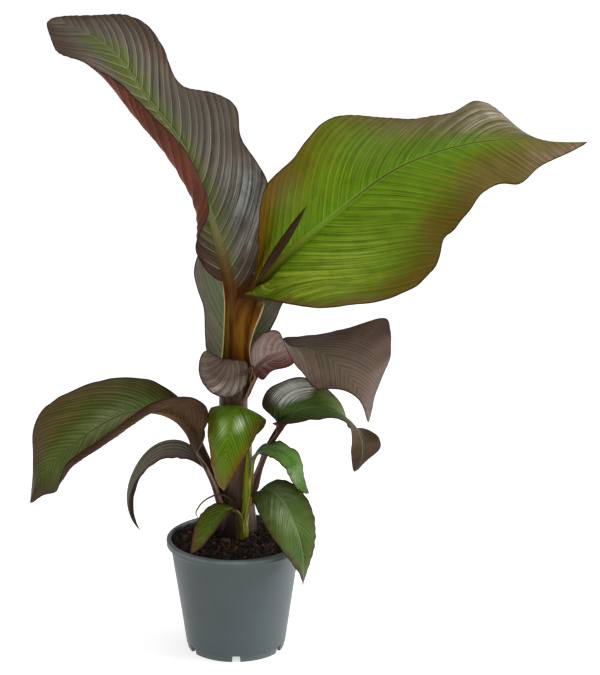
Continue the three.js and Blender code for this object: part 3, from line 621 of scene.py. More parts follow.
def pot_rings():
    """Pot: its closed profile, from the middle of the underside round the rim to the middle of its floor,
    carried round the axis. Where a notch lets water out, the foot is raised to the notch's height."""
    top, rim, wall, hub = POT["height"], POT["rim_radius"], POT["wall"], POT["hub"]
    foot, base, disc = POT["foot_radius"], POT["base_rise"], POT["disc_radius"]
    band, step, crown = POT["foot_band"], POT["foot_band_step"], POT["lip_crown"]
    lip = top - POT["lip_drop"]
    neck = lip - POT["neck"]
    inner_foot = foot - POT["foot_ring"]
    floor = base + POT["base_thickness"]
    # Each corner between the first and the last has its rounding
    corners = [
        [hub, 0], [disc, 0], [disc, base], [inner_foot, base], [inner_foot, 0], [foot, 0],
        [wall_radius(band), band], [wall_radius(band + step) + step, band + step],
        [wall_radius(neck) - POT["neck_inset"], neck], [POT["wall_top_radius"] + POT["neck_flare"], lip],
        [rim - POT["lip_inset"], lip], [rim, lip + crown], [rim, top - crown], [rim - 2 * crown, top],
        [wall_radius(top) - wall, top - POT["rim_fall"]], [wall_radius(floor) - wall, floor], [hub, floor]]
    rounding = [1, 1, 1, 0.8, 0.8, 0.3, 0.3, 2, 0.8, 0.5, 0.9, 1.2, 1.4, 0.9, 2]
    profile = rounded_profile(corners, rounding, POT["spacing"])
    turns = np.radians(POT["notch_turn"] - 90 + 360 / POT["notches"] * np.arange(POT["notches"]))
    half_angle, slant = POT["notch_width"] / 2 / foot, POT["notch_slant"]
    marks = np.add.outer(turns, np.add.outer([-half_angle, half_angle], [-slant, slant])).ravel()
    theta = np.concatenate([np.linspace(0, 2 * np.pi, POT["sides"], endpoint=False), marks % (2 * np.pi)])
    theta = np.unique(np.round(theta, 5))
    apart = angle_apart(theta, turns).min(0)
    notch = POT["notch_height"] * (1 - smooth(apart, half_angle - slant, half_angle + slant))
    radius, z = profile[:, :1], profile[:, 1:]
    at_foot = radius > inner_foot - POT["slack"]
    outside = radius > foot - 2 * POT["slack"]
    height = np.where(at_foot, np.maximum(z, notch * np.ones_like(z)), z * np.ones_like(theta))
    level = np.maximum(radius, wall_radius(height) * (z < band) * outside)
    return np.stack([level * np.cos(theta), level * np.sin(theta), height], -1)


def uneven_ground(x, y):
    """Uneven ground of height about 1: the sum of waves in drawn directions and lengths."""
    count, shortest, longest = SOIL["waves"], SOIL["shortest"], SOIL["longest"]
    draw = np.random.default_rng(SOIL["seed"])
    lengths = shortest * (longest / shortest) ** draw.uniform(0, 1, count)
    turns, starts = draw.uniform(0, 2 * np.pi, (2, count))
    phase = (np.multiply.outer(x, np.cos(turns)) + np.multiply.outer(y, np.sin(turns))) / lengths
    return np.sin(2 * np.pi * phase + starts) @ (lengths / lengths.mean()) ** 0.5 / math.sqrt(count)


def soil_height(x, y):
    """Height of the soil: its level, a drop to the pot's wall, and uneven ground."""
    radius = np.hypot(x, y)
    drop = SOIL["edge_drop"] * smooth(radius, SOIL["level_radius"], wall_radius(SOIL["level"]))
    return SOIL["level"] - drop + SOIL["unevenness"] * uneven_ground(x, y)


def soil_rings():
    """Soil: rings out along its bottom, up the pot's wall, and in over its uneven top."""
    bottom = POT["base_rise"] + POT["base_thickness"] + CLEARANCE
    theta = np.linspace(0, 2 * np.pi, SOIL["sides"], endpoint=False)
    clear = POT["wall"] + SOIL["wall_gap"]
    low = np.array([SOIL["bottom_hub"], wall_radius(bottom) - clear])[:, None]
    high = np.linspace(wall_radius(SOIL["level"] - SOIL["edge_drop"]) - clear, SOIL["top_hub"], SOIL["rings"])
    radius = np.concatenate([low, high[:, None]])
    x, y = radius * np.cos(theta), radius * np.sin(theta)
    z = soil_height(x, y)
    z[:len(low)] = bottom
    return np.stack([x, y, z], -1)


def turns_about(axis, angles):
    """Turning matrices about one axis, one for each of the angles."""
    i, j = (axis + 1) % 3, (axis + 2) % 3
    turns = np.zeros((3, 3, len(angles)))
    turns[axis, axis] = 1
    turns[i, i], turns[i, j] = np.cos(angles), -np.sin(angles)
    turns[j, i], turns[j, j] = np.sin(angles), np.cos(angles)
    return turns


def bark_chips():
    """Bark chips: blunt boxes, each a rounded block of powers of cosine and sine made uneven, scaled to a
    drawn length, width and thickness, turned by drawn angles, and set down on the soil."""
    count, uneven, tilt = CHIPS["count"], CHIPS["uneven"], CHIPS["tilt"]

    def blunt(value):
        """Power of a cosine or sine, with its sign."""
        return np.sign(value) * np.abs(value) ** CHIPS["power"]

    draw = np.random.default_rng(CHIPS["seed"])
    latitude = np.linspace(-np.pi / 2, np.pi / 2, CHIPS["rows"] + 2)[1:-1][:, None]
    turn = np.linspace(0, 2 * np.pi, CHIPS["sides"], endpoint=False)
    block = np.stack([blunt(np.cos(latitude)) * blunt(np.cos(turn)),
                      blunt(np.cos(latitude)) * blunt(np.sin(turn)),
                      blunt(np.sin(latitude)) * np.ones_like(turn)], -1)
    points, quads, fans = closed_rings(block)
    shape = points * (1 + draw.uniform(-uneven, uneven, (count,) + points.shape))
    length = draw.gamma(CHIPS["lengths"], CHIPS["spread"], count) + CHIPS["least"]
    slender = draw.uniform(*CHIPS["slender"], count)
    size = np.stack([length / np.sqrt(slender + CHIPS["stub"]), length * slender,
                     length * slender * CHIPS["flat"]], -1)
    spin = turns_about(2, draw.uniform(0, 2 * np.pi, count))
    tip = turns_about(1, draw.normal(0, tilt, count))
    lean = turns_about(0, draw.normal(0, tilt, count))
    turned = np.einsum("ijn,jkn,kln,npl->npi", spin, tip, lean, shape * size[:, None])
    radius = CHIPS["reach"] * np.sqrt(draw.uniform(CHIPS["bare"], 1, count))
    heading = draw.uniform(0, 2 * np.pi, count)
    x, y = radius * np.cos(heading), radius * np.sin(heading)
    place = np.stack([x, y, soil_height(x, y) + CHIPS["raised"] * size[:, 2]], -1)
    shade = np.repeat(draw.uniform(0, 1, count), len(points))
    first = np.arange(count)[:, None, None] * len(points)
    return ((turned + place[:, None]).reshape(-1, 3), (quads + first).reshape(-1, 4),
            (fans + first).reshape(-1, 3), shade)


# Finishes

# How rough every coat is
COAT_ROUGHNESS = 0.25
# Lines of a leaf: stripes and finer lines from one side vein to the next, and how a side vein, a fine line
# and the dark margin fade across their width
STRIPES, FINE_LINES = 4.2, 4
VEIN_WIDTH, FINE_WIDTH, EDGE_WIDTH = [0.2, 1.2], [0.1, 0.45], [0.7, 2.8]
# Heights where painted shade darkens the stem below the fork, and in metres those of the painted highlight
# on the pot's rim and of its dust
FORK_SHADE_HEIGHT = [398, 408]
RIM_HIGHLIGHT_HEIGHT, DUST_HEIGHT = [0.151, 0.158], [0.012, 0.0]


def linear(tone):
    """Linear colour from a screen colour of 0 to 255."""
    value = np.array(tone) / 255
    light = np.where(value <= 0.04045, value / 12.92, ((value + 0.055) / 1.055) ** 2.4)
    return (*light.tolist(), 1.0)


class Finish:
    """Node material on a Principled surface. Each method adds one node or a few, and gives the output."""

    def __init__(self, name, roughness, coat=0.0, specular=0.5):
        self.material = bpy.data.materials.new(name)
        self.material.use_nodes = True
        self.tree = self.material.node_tree
        self.surface = self.tree.nodes["Principled BSDF"]
        self.surface.inputs["Roughness"].default_value = roughness
        self.surface.inputs["Coat Weight"].default_value = coat
        self.surface.inputs["Coat Roughness"].default_value = COAT_ROUGHNESS
        self.surface.inputs["Specular IOR Level"].default_value = specular

    def add(self, kind, inputs, output=0, **settings):
        """Adds a node with its settings, and links or sets its inputs."""
        node = self.tree.nodes.new(kind)
        for key, value in settings.items():
            setattr(node, key, value)
        for key, value in inputs.items():
            if isinstance(value, bpy.types.NodeSocket):
                self.tree.links.new(value, node.inputs[key])
            else:
                node.inputs[key].default_value = value
        return node.outputs[output]

    def math(self, operation, *values):
        return self.add("ShaderNodeMath", dict(enumerate(values)), operation=operation)

    def times(self, first, *others):
        for other in others:
            first = self.math("MULTIPLY", first, other)
        return first

    def plus(self, first, *others):
        for other in others:
            first = self.math("ADD", first, other)
        return first

    def distance(self, value, middle):
        """How far a value lies from a middle, either way."""
        return self.math("ABSOLUTE", self.plus(value, -middle))

    def ease(self, value, low, high, start=0.0, end=1.0):
        """Smooth step of a value from start at low to end at high."""
        return self.add("ShaderNodeMapRange", {"Value": value, "From Min": low, "From Max": high,
                                               "To Min": start, "To Max": end},
                        interpolation_type="SMOOTHSTEP")

    def mix(self, share, first, second):
        """Mix of two colours; one that is given by its three numbers is a screen colour."""
        first, second = (linear(tone) if isinstance(tone, tuple) else tone for tone in (first, second))
        return self.add("ShaderNodeMix", {0: share, 6: first, 7: second}, 2, data_type="RGBA")

    def noise(self, vector, scale, detail=2.0, roughness=0.5):
        return self.add("ShaderNodeTexNoise", {"Vector": vector, "Scale": scale, "Detail": detail,
                                               "Roughness": roughness})

    def streaks(self, along, along_scale, across, across_scale, layer, detail, roughness=0.5):
        """Noise drawn out by its two scales; the layer keeps one set of streaks apart from another."""
        place = self.vector(self.times(along, along_scale), self.times(across, across_scale), layer)
        return self.noise(place, 1, detail, roughness)

    def lines(self, value, apart, width, share):
        """Lines at even distances of a value: the share on them, fading across their width."""
        return self.ease(self.math("PINGPONG", value, apart / 2), *width, share, 0)

    def parts(self, vector):
        """The three numbers of a vector."""
        node = self.tree.nodes.new("ShaderNodeSeparateXYZ")
        self.tree.links.new(vector, node.inputs[0])
        return node.outputs[0], node.outputs[1], node.outputs[2]

    def note(self, name):
        """The three numbers of a point attribute."""
        return self.parts(self.add("ShaderNodeAttribute", {}, 1, attribute_name=name))

    def vector(self, x, y, z):
        return self.add("ShaderNodeCombineXYZ", {0: x, 1: y, 2: z})

    def place(self):
        return self.add("ShaderNodeTexCoord", {}, "Object")

    def shade(self, paint, value):
        """Paint made lighter or darker by a value about 1."""
        return self.add("ShaderNodeHueSaturation", {"Value": value, "Color": paint})

    def done(self, paint, height, bump, depth, roughness=None):
        """Joins the colour, the bump and, where it varies, the roughness to the surface."""
        self.tree.links.new(paint, self.surface.inputs["Base Color"])
        normal = self.add("ShaderNodeBump", {"Strength": bump, "Distance": depth, "Height": height})
        self.tree.links.new(normal, self.surface.inputs["Normal"])
        if roughness is not None:
            self.tree.links.new(roughness, self.surface.inputs["Roughness"])
        return self.material


def leaf_place(finish, spacing):
    """Where a point of a leaf lies: its share along and across the blade, its vein, its length from the
    foot, its reach from the rib and the keel there, and noises and lines that follow the veins."""
    u, across, vein = finish.note("blade")
    length, reach, keel = finish.note("span")
    place = finish.place()
    return SimpleNamespace(
        u=u, across=across, vein=vein, length=length, reach=reach, keel=keel, spacing=spacing,
        far=finish.math("ABSOLUTE", reach), outward=finish.math("ABSOLUTE", across),
        cloud=finish.noise(place, scale=16, detail=3),
        mottle=finish.noise(place, scale=45, detail=4, roughness=0.65),
        stripe=finish.streaks(vein, STRIPES / spacing, reach, 0.012, layer=0.0, detail=3, roughness=0.6),
        fine=finish.streaks(vein, 1.6, reach, 0.02, layer=3.0, detail=2),
        line=finish.lines(vein, spacing, VEIN_WIDTH, 1))


def blade_ground(finish, at, look):
    """Ground of the blade: it turns olive and then bronze from the margins inwards, wider towards the tip,
    with a tint beside the rib and a colour of its own on the margins of the base."""
    drift = finish.plus(finish.times(finish.plus(at.cloud, -0.5), look["cloud"]),
                        finish.times(finish.plus(at.stripe, -0.5), look["streak"]))
    start, end, gain = look["spread"]
    grown = finish.plus(at.outward, drift, finish.ease(at.u, start, end, 0, gain),
                        finish.times(at.across, look["lean"]))
    low, high = look["margin"]
    paint = finish.mix(finish.ease(grown, low - 0.4, high - 0.2), look["blade"], look["olive"])
    paint = finish.mix(finish.ease(grown, low, high), paint, look["bronze"])
    beside = finish.ease(finish.plus(at.far, finish.times(at.stripe, 6)), 4, look["tint_reach"], 1, 0)
    tint = finish.times(beside, finish.ease(at.u, *look["tint_end"], 1, 0), look["tint_share"])
    paint = finish.mix(tint, paint, look["tint"])
    base = finish.times(finish.ease(at.u, 0.02, 0.45, 1, 0),
                        finish.ease(finish.plus(at.outward, drift), 0.2, 0.8))
    if "base_side" in look:
        base = finish.times(base, finish.ease(finish.times(at.across, look["base_side"]), -0.3, 0.3))
    return finish.mix(finish.times(base, look["base_share"]), paint, look["base"])


def spots_and_painted_sheen(finish, at, look, paint):
    """Streaky spots of other colours round given places of the blade: some are the leaf's own tones, others
    painted sheen and highlights.
    """
    streaky = finish.times(finish.ease(at.stripe, 0.4, 0.62, 0.15, 1),
                           finish.ease(at.mottle, 0.3, 0.6, 0.5, 1))
    for tone, share, along, along_reach, out, out_reach in look["spots"]:
        near = finish.times(finish.ease(finish.distance(at.u, along), 0, along_reach, 1, 0),
                            finish.ease(finish.distance(at.across, out), 0, out_reach, 1, 0), streaky, share)
        paint = finish.mix(near, paint, tone)
    return paint


def veined(finish, at, look, paint):
    """Lighter and darker stripes, partly the leaf's own tone and partly painted shade of its pleats, and one
    side of each pleat darker as painted shade; then pale side veins and finer lines between them that fade
    towards the margin and the tip."""
    # Painted shade: one side of each pleat darker, as light falls across the pleats; the stripes carry some
    # of it too.
    side = finish.times(finish.math("FLOORED_MODULO", at.vein, at.spacing), 1 / at.spacing)
    value = finish.plus(finish.ease(at.stripe, 0.25, 0.75, 0.62, 1.3),
                        finish.ease(at.fine, 0.3, 0.7, -0.16, 0.16),
                        finish.ease(side, 0, 1, look["pleat"], -look["pleat"]),
                        finish.ease(at.mottle, 0.3, 0.7, -0.1, 0.1))
    paint = finish.shade(paint, value)
    thin = finish.lines(at.vein, at.spacing / FINE_LINES, FINE_WIDTH, 0.22)
    each = finish.noise(finish.vector(finish.times(at.vein, 0.09), 0.0, 7.0), scale=1, detail=1)
    lines = finish.times(finish.math("MAXIMUM", at.line, thin), finish.ease(at.outward, 0.45, 0.98, 1, 0.15),
                         finish.ease(each, 0.3, 0.7, 0.4, 1), finish.ease(at.u, 0.8, 0.95, 1, 0.3),
                         look["vein_share"])
    return finish.mix(lines, paint, look["vein"])


def speckled(finish, at, look, paint):
    """Specks along the veins, on the right half near its base."""
    speck = finish.streaks(at.vein, 0.5, at.reach, 0.16, layer=5.0, detail=2, roughness=0.6)
    where = finish.times(finish.ease(at.across, -0.25, -0.6), finish.ease(at.u, 0.06, 0.3, 1, 0))
    return finish.mix(finish.times(finish.ease(speck, 0.5, 0.6), where, 0.45), paint, look["speckle"])


def ringed(finish, at, look, paint):
    """Dark arcs at even distances about one place, given by its length and reach."""
    middle, out, apart = look["rings"]
    away = finish.math("SQRT", finish.plus(finish.math("POWER", finish.plus(at.length, -middle), 2.0),
                                           finish.math("POWER", finish.plus(at.reach, -out), 2.0)))
    arc = finish.times(finish.lines(finish.plus(away, 2.0), apart, [0.1, 1.1], 0.55),
                       finish.ease(away, 1.8 * apart, 2.4 * apart, 1, 0),
                       finish.ease(at.cloud, 0.35, 0.6, 0.3, 1))
    return finish.mix(arc, paint, look["edge"])


def edged(finish, at, look, paint):
    """Dark line of even width along the margin, which lies reach / across - reach away."""
    whole = finish.math("DIVIDE", at.far, finish.math("MAXIMUM", at.outward, 0.01))
    inside = finish.math("SUBTRACT", whole, at.far)
    return finish.mix(finish.ease(inside, *EDGE_WIDTH, 0.9, 0), paint, look["edge"])


def stalked(finish, at, look, paint):
    """Stalk with a grain along it, painted shade over one end and pale rims, and the rib that runs on from it
    with painted shade in the furrow along its middle."""
    grain = finish.streaks(at.length, 0.012, at.across, 1.1, layer=0.0, detail=2)
    stalk = finish.mix(finish.ease(grain, 0.38, 0.62), look["stalk"], look["stalk_dark"])
    # Painted shade over one end of the stalk.
    if "stalk_shade" in look:
        stalk = finish.mix(finish.ease(at.length, *look["stalk_shade"], 0, 0.85), stalk, look["stalk_dark"])
    rim = finish.ease(at.outward, 0.88, 0.97, 0, 0.75)
    if "rim_side" in look:
        rim = finish.times(rim, finish.ease(finish.times(at.across, look["rim_side"]), -0.1, 0.1))
    stalk = finish.mix(rim, stalk, look["stalk_rim"])
    thick = finish.ease(at.u, 0.0, 0.3, 1, look["rib_reach"])
    ratio = finish.math("DIVIDE", finish.math("DIVIDE", at.far, at.keel), thick)
    # Painted shade in the hollow along the rib's middle.
    furrow = finish.times(finish.ease(ratio, 0.25, 0.8, 0.9, 0), finish.ease(at.u, 0.2, 0.5))
    rib = finish.mix(finish.ease(at.u, -0.02, 0.3), stalk, look["rib"])
    rib = finish.mix(furrow, rib, look["edge"])
    on_rib = finish.times(finish.ease(ratio, 0.85, 1.2, 1, 0), finish.ease(at.u, 0.8, 1, 0.85, 0.1))
    paint = finish.mix(on_rib, paint, rib)
    return finish.mix(finish.ease(at.u, -0.03, 0.005, 1, 0), paint, stalk)


def leaf_finish(name, leaf, look):
    """Waxy leaf surface: the ground of the blade and its spots, some of them painted sheen, the stripes and
    veins with painted shade on the pleats, specks and rings where it has them, the dark margin, then the
    stalk and the rib with painted shade in its furrow."""
    look = {**PLAIN_LOOK, **look}
    finish = Finish(name, look["rough"], look["coat"], look["shine"])
    at = leaf_place(finish, leaf["veins"][0])
    paint = veined(finish, at, look, spots_and_painted_sheen(finish, at, look, blade_ground(finish, at, look)))
    if "speckle" in look:
        paint = speckled(finish, at, look, paint)
    if "rings" in look:
        paint = ringed(finish, at, look, paint)
    paint = stalked(finish, at, look, edged(finish, at, look, paint))
    height = finish.plus(finish.times(at.line, 0.5), finish.times(at.stripe, 0.6),
                         finish.times(at.fine, 0.35))
    rough = finish.ease(finish.plus(at.cloud, at.stripe), 0.7, 1.3, look["rough"] - 0.06,
                        look["rough"] + 0.08)
    return finish.done(paint, height, bump=0.35, depth=0.0005, roughness=rough)


def stem_finish(name, look):
    """Leaf sheaths: one colour turns into another between two heights, with streaks along the stem, dark
    places between sheaths, pale edges that set in between two heights, and painted shade that darkens the
    foot and the top."""
    finish = Finish(name, roughness=0.45, coat=0.03, specular=0.15)
    edge, height, around = finish.note("sheath")
    streak = finish.streaks(around, 1, height, 0.004, layer=0.0, detail=4, roughness=0.6)
    cloud = finish.noise(finish.place(), scale=22, detail=3)
    paint = finish.mix(finish.ease(finish.plus(height, finish.times(cloud, 20)), *look["turn"]), look["low"],
                       look["high"])
    paint = finish.mix(finish.ease(finish.plus(streak, finish.times(cloud, 0.4)), 0.55, 0.95), paint,
                       look["dark"])
    paint = finish.shade(paint, finish.ease(streak, 0.3, 0.7, 0.8, 1.2))
    line = finish.times(finish.ease(edge, 0.3, 1.4, 1, 0), finish.ease(cloud, 0.3, 0.6, 0.2, 0.8),
                        finish.ease(height, *look["shown"], 0.06, 1))
    paint = finish.mix(line, paint, look["rim"])
    # Painted shade: darker towards the foot, down among the leaves and the soil, and at the top under the
    # fork.
    paint = finish.shade(paint, finish.ease(height, *look["foot"], 1))
    paint = finish.shade(paint, finish.ease(height, *FORK_SHADE_HEIGHT, 1, 0.75))
    return finish.done(paint, streak, bump=0.3, depth=0.0006)


def rolled_finish(name, look):
    """Rolled leaf: streaks along the roll, and a paler line on the sheet's edge."""
    finish = Finish(name, look["rough"], coat=0, specular=0.1)
    turn, along, _ = finish.note("round")
    streak = finish.streaks(turn, 14, along, 2.5, layer=0.0, detail=4, roughness=0.6)
    paint = finish.mix(finish.ease(streak, 0.3, 0.7), look["blade"], look["dark"])
    paint = finish.mix(finish.ease(turn, 0.9, 0.985, 0, 0.75), paint, look["pale"])
    return finish.done(paint, streak, bump=0.4, depth=0.0006)


def pot_finish():
    """Moulded plastic: faint clouds and vertical flow marks, fine grain, a painted highlight along the rim,
    and dust along the foot."""
    finish = Finish("moulded_plastic", roughness=0.42, coat=0, specular=0.5)
    place = finish.place()
    x, y, z = finish.parts(place)
    cloud = finish.noise(place, scale=9, detail=4)
    grain = finish.noise(place, scale=900, detail=2)
    flow = finish.vector(finish.times(x, 60), finish.times(y, 60), finish.times(z, 5))
    flow = finish.noise(flow, scale=1, detail=3)
    paint = finish.mix(finish.ease(finish.plus(cloud, finish.times(flow, 0.15)), 0.4, 0.75), (54, 64, 65),
                       (62, 73, 75))
    # Painted highlight: a thin pale line along the rim, uneven along its length.
    rim_highlight_patches = finish.ease(finish.noise(place, scale=22, detail=3), 0.3, 0.7, 0.3, 1)
    paint = finish.mix(finish.times(finish.ease(z, *RIM_HIGHLIGHT_HEIGHT), rim_highlight_patches, 0.3), paint, (160, 172, 174))
    dust = finish.times(finish.ease(z, *DUST_HEIGHT, 0, 0.15), finish.ease(cloud, 0.4, 0.6))
    paint = finish.mix(dust, paint, (140, 146, 144))
    return finish.done(paint, finish.plus(grain, finish.times(flow, 0.3)), bump=0.12, depth=0.0003,
                       roughness=finish.ease(cloud, 0.3, 0.7, 0.36, 0.5))


def soil_finish():
    """Moist potting soil: dark crumbs of two browns at two scales."""
    finish = Finish("potting_soil", roughness=0.9, coat=0, specular=0.3)
    place = finish.place()
    crumb = finish.noise(place, scale=420, detail=4, roughness=0.7)
    clod = finish.noise(place, scale=90, detail=3)
    paint = finish.mix(finish.ease(finish.plus(crumb, finish.times(clod, 0.5)), 0.6, 0.95), (15, 10, 6),
                       (52, 35, 20))
    return finish.done(paint, crumb, bump=0.9, depth=0.002)


def bark_finish():
    """Bark chips: each chip its own brown, with fibres."""
    finish = Finish("bark", roughness=0.85, coat=0, specular=0.3)
    shade, _, _ = finish.note("chip")
    fibre = finish.noise(finish.place(), scale=500, detail=4, roughness=0.7)
    paint = finish.mix(finish.ease(shade, 0.45, 1.05), (18, 12, 8), (80, 56, 34))
    paint = finish.shade(paint, finish.ease(fibre, 0.3, 0.7, 0.6, 1.35))
    return finish.done(paint, fibre, bump=0.7, depth=0.0012)


def floor_finish():
    """Pale floor that glows a little more away from the pot, where the lights no longer reach it."""
    finish = Finish("pale_floor", roughness=0.9, coat=0, specular=0.1)
    finish.surface.inputs["Base Color"].default_value = (0.9, 0.9, 0.9, 1)
    finish.surface.inputs["Emission Color"].default_value = (1, 1, 1, 1)
    apart = finish.add("ShaderNodeVectorMath", {0: finish.place()}, 1, operation="LENGTH")
    finish.tree.links.new(finish.ease(apart, 1.0, 3.5, 0.6, 0.7), finish.surface.inputs["Emission Strength"])
    return finish.material


def soft_light(name, place, aim, size, power):
    """Square soft light at a place in metres, turned to its aim."""
    light = bpy.data.lights.new(name, "AREA")
    light.shape = "SQUARE"
    light.size = size
    light.energy = power
    lamp = bpy.data.objects.new(name, light)
    bpy.context.collection.objects.link(lamp)
    lamp.location = place
    away = np.asarray(place, float) - np.asarray(aim, float)
    level = math.hypot(away[0], away[1])
    lamp.rotation_euler = (math.atan2(level, away[2]), 0, math.atan2(away[1], away[0]) + math.pi / 2)
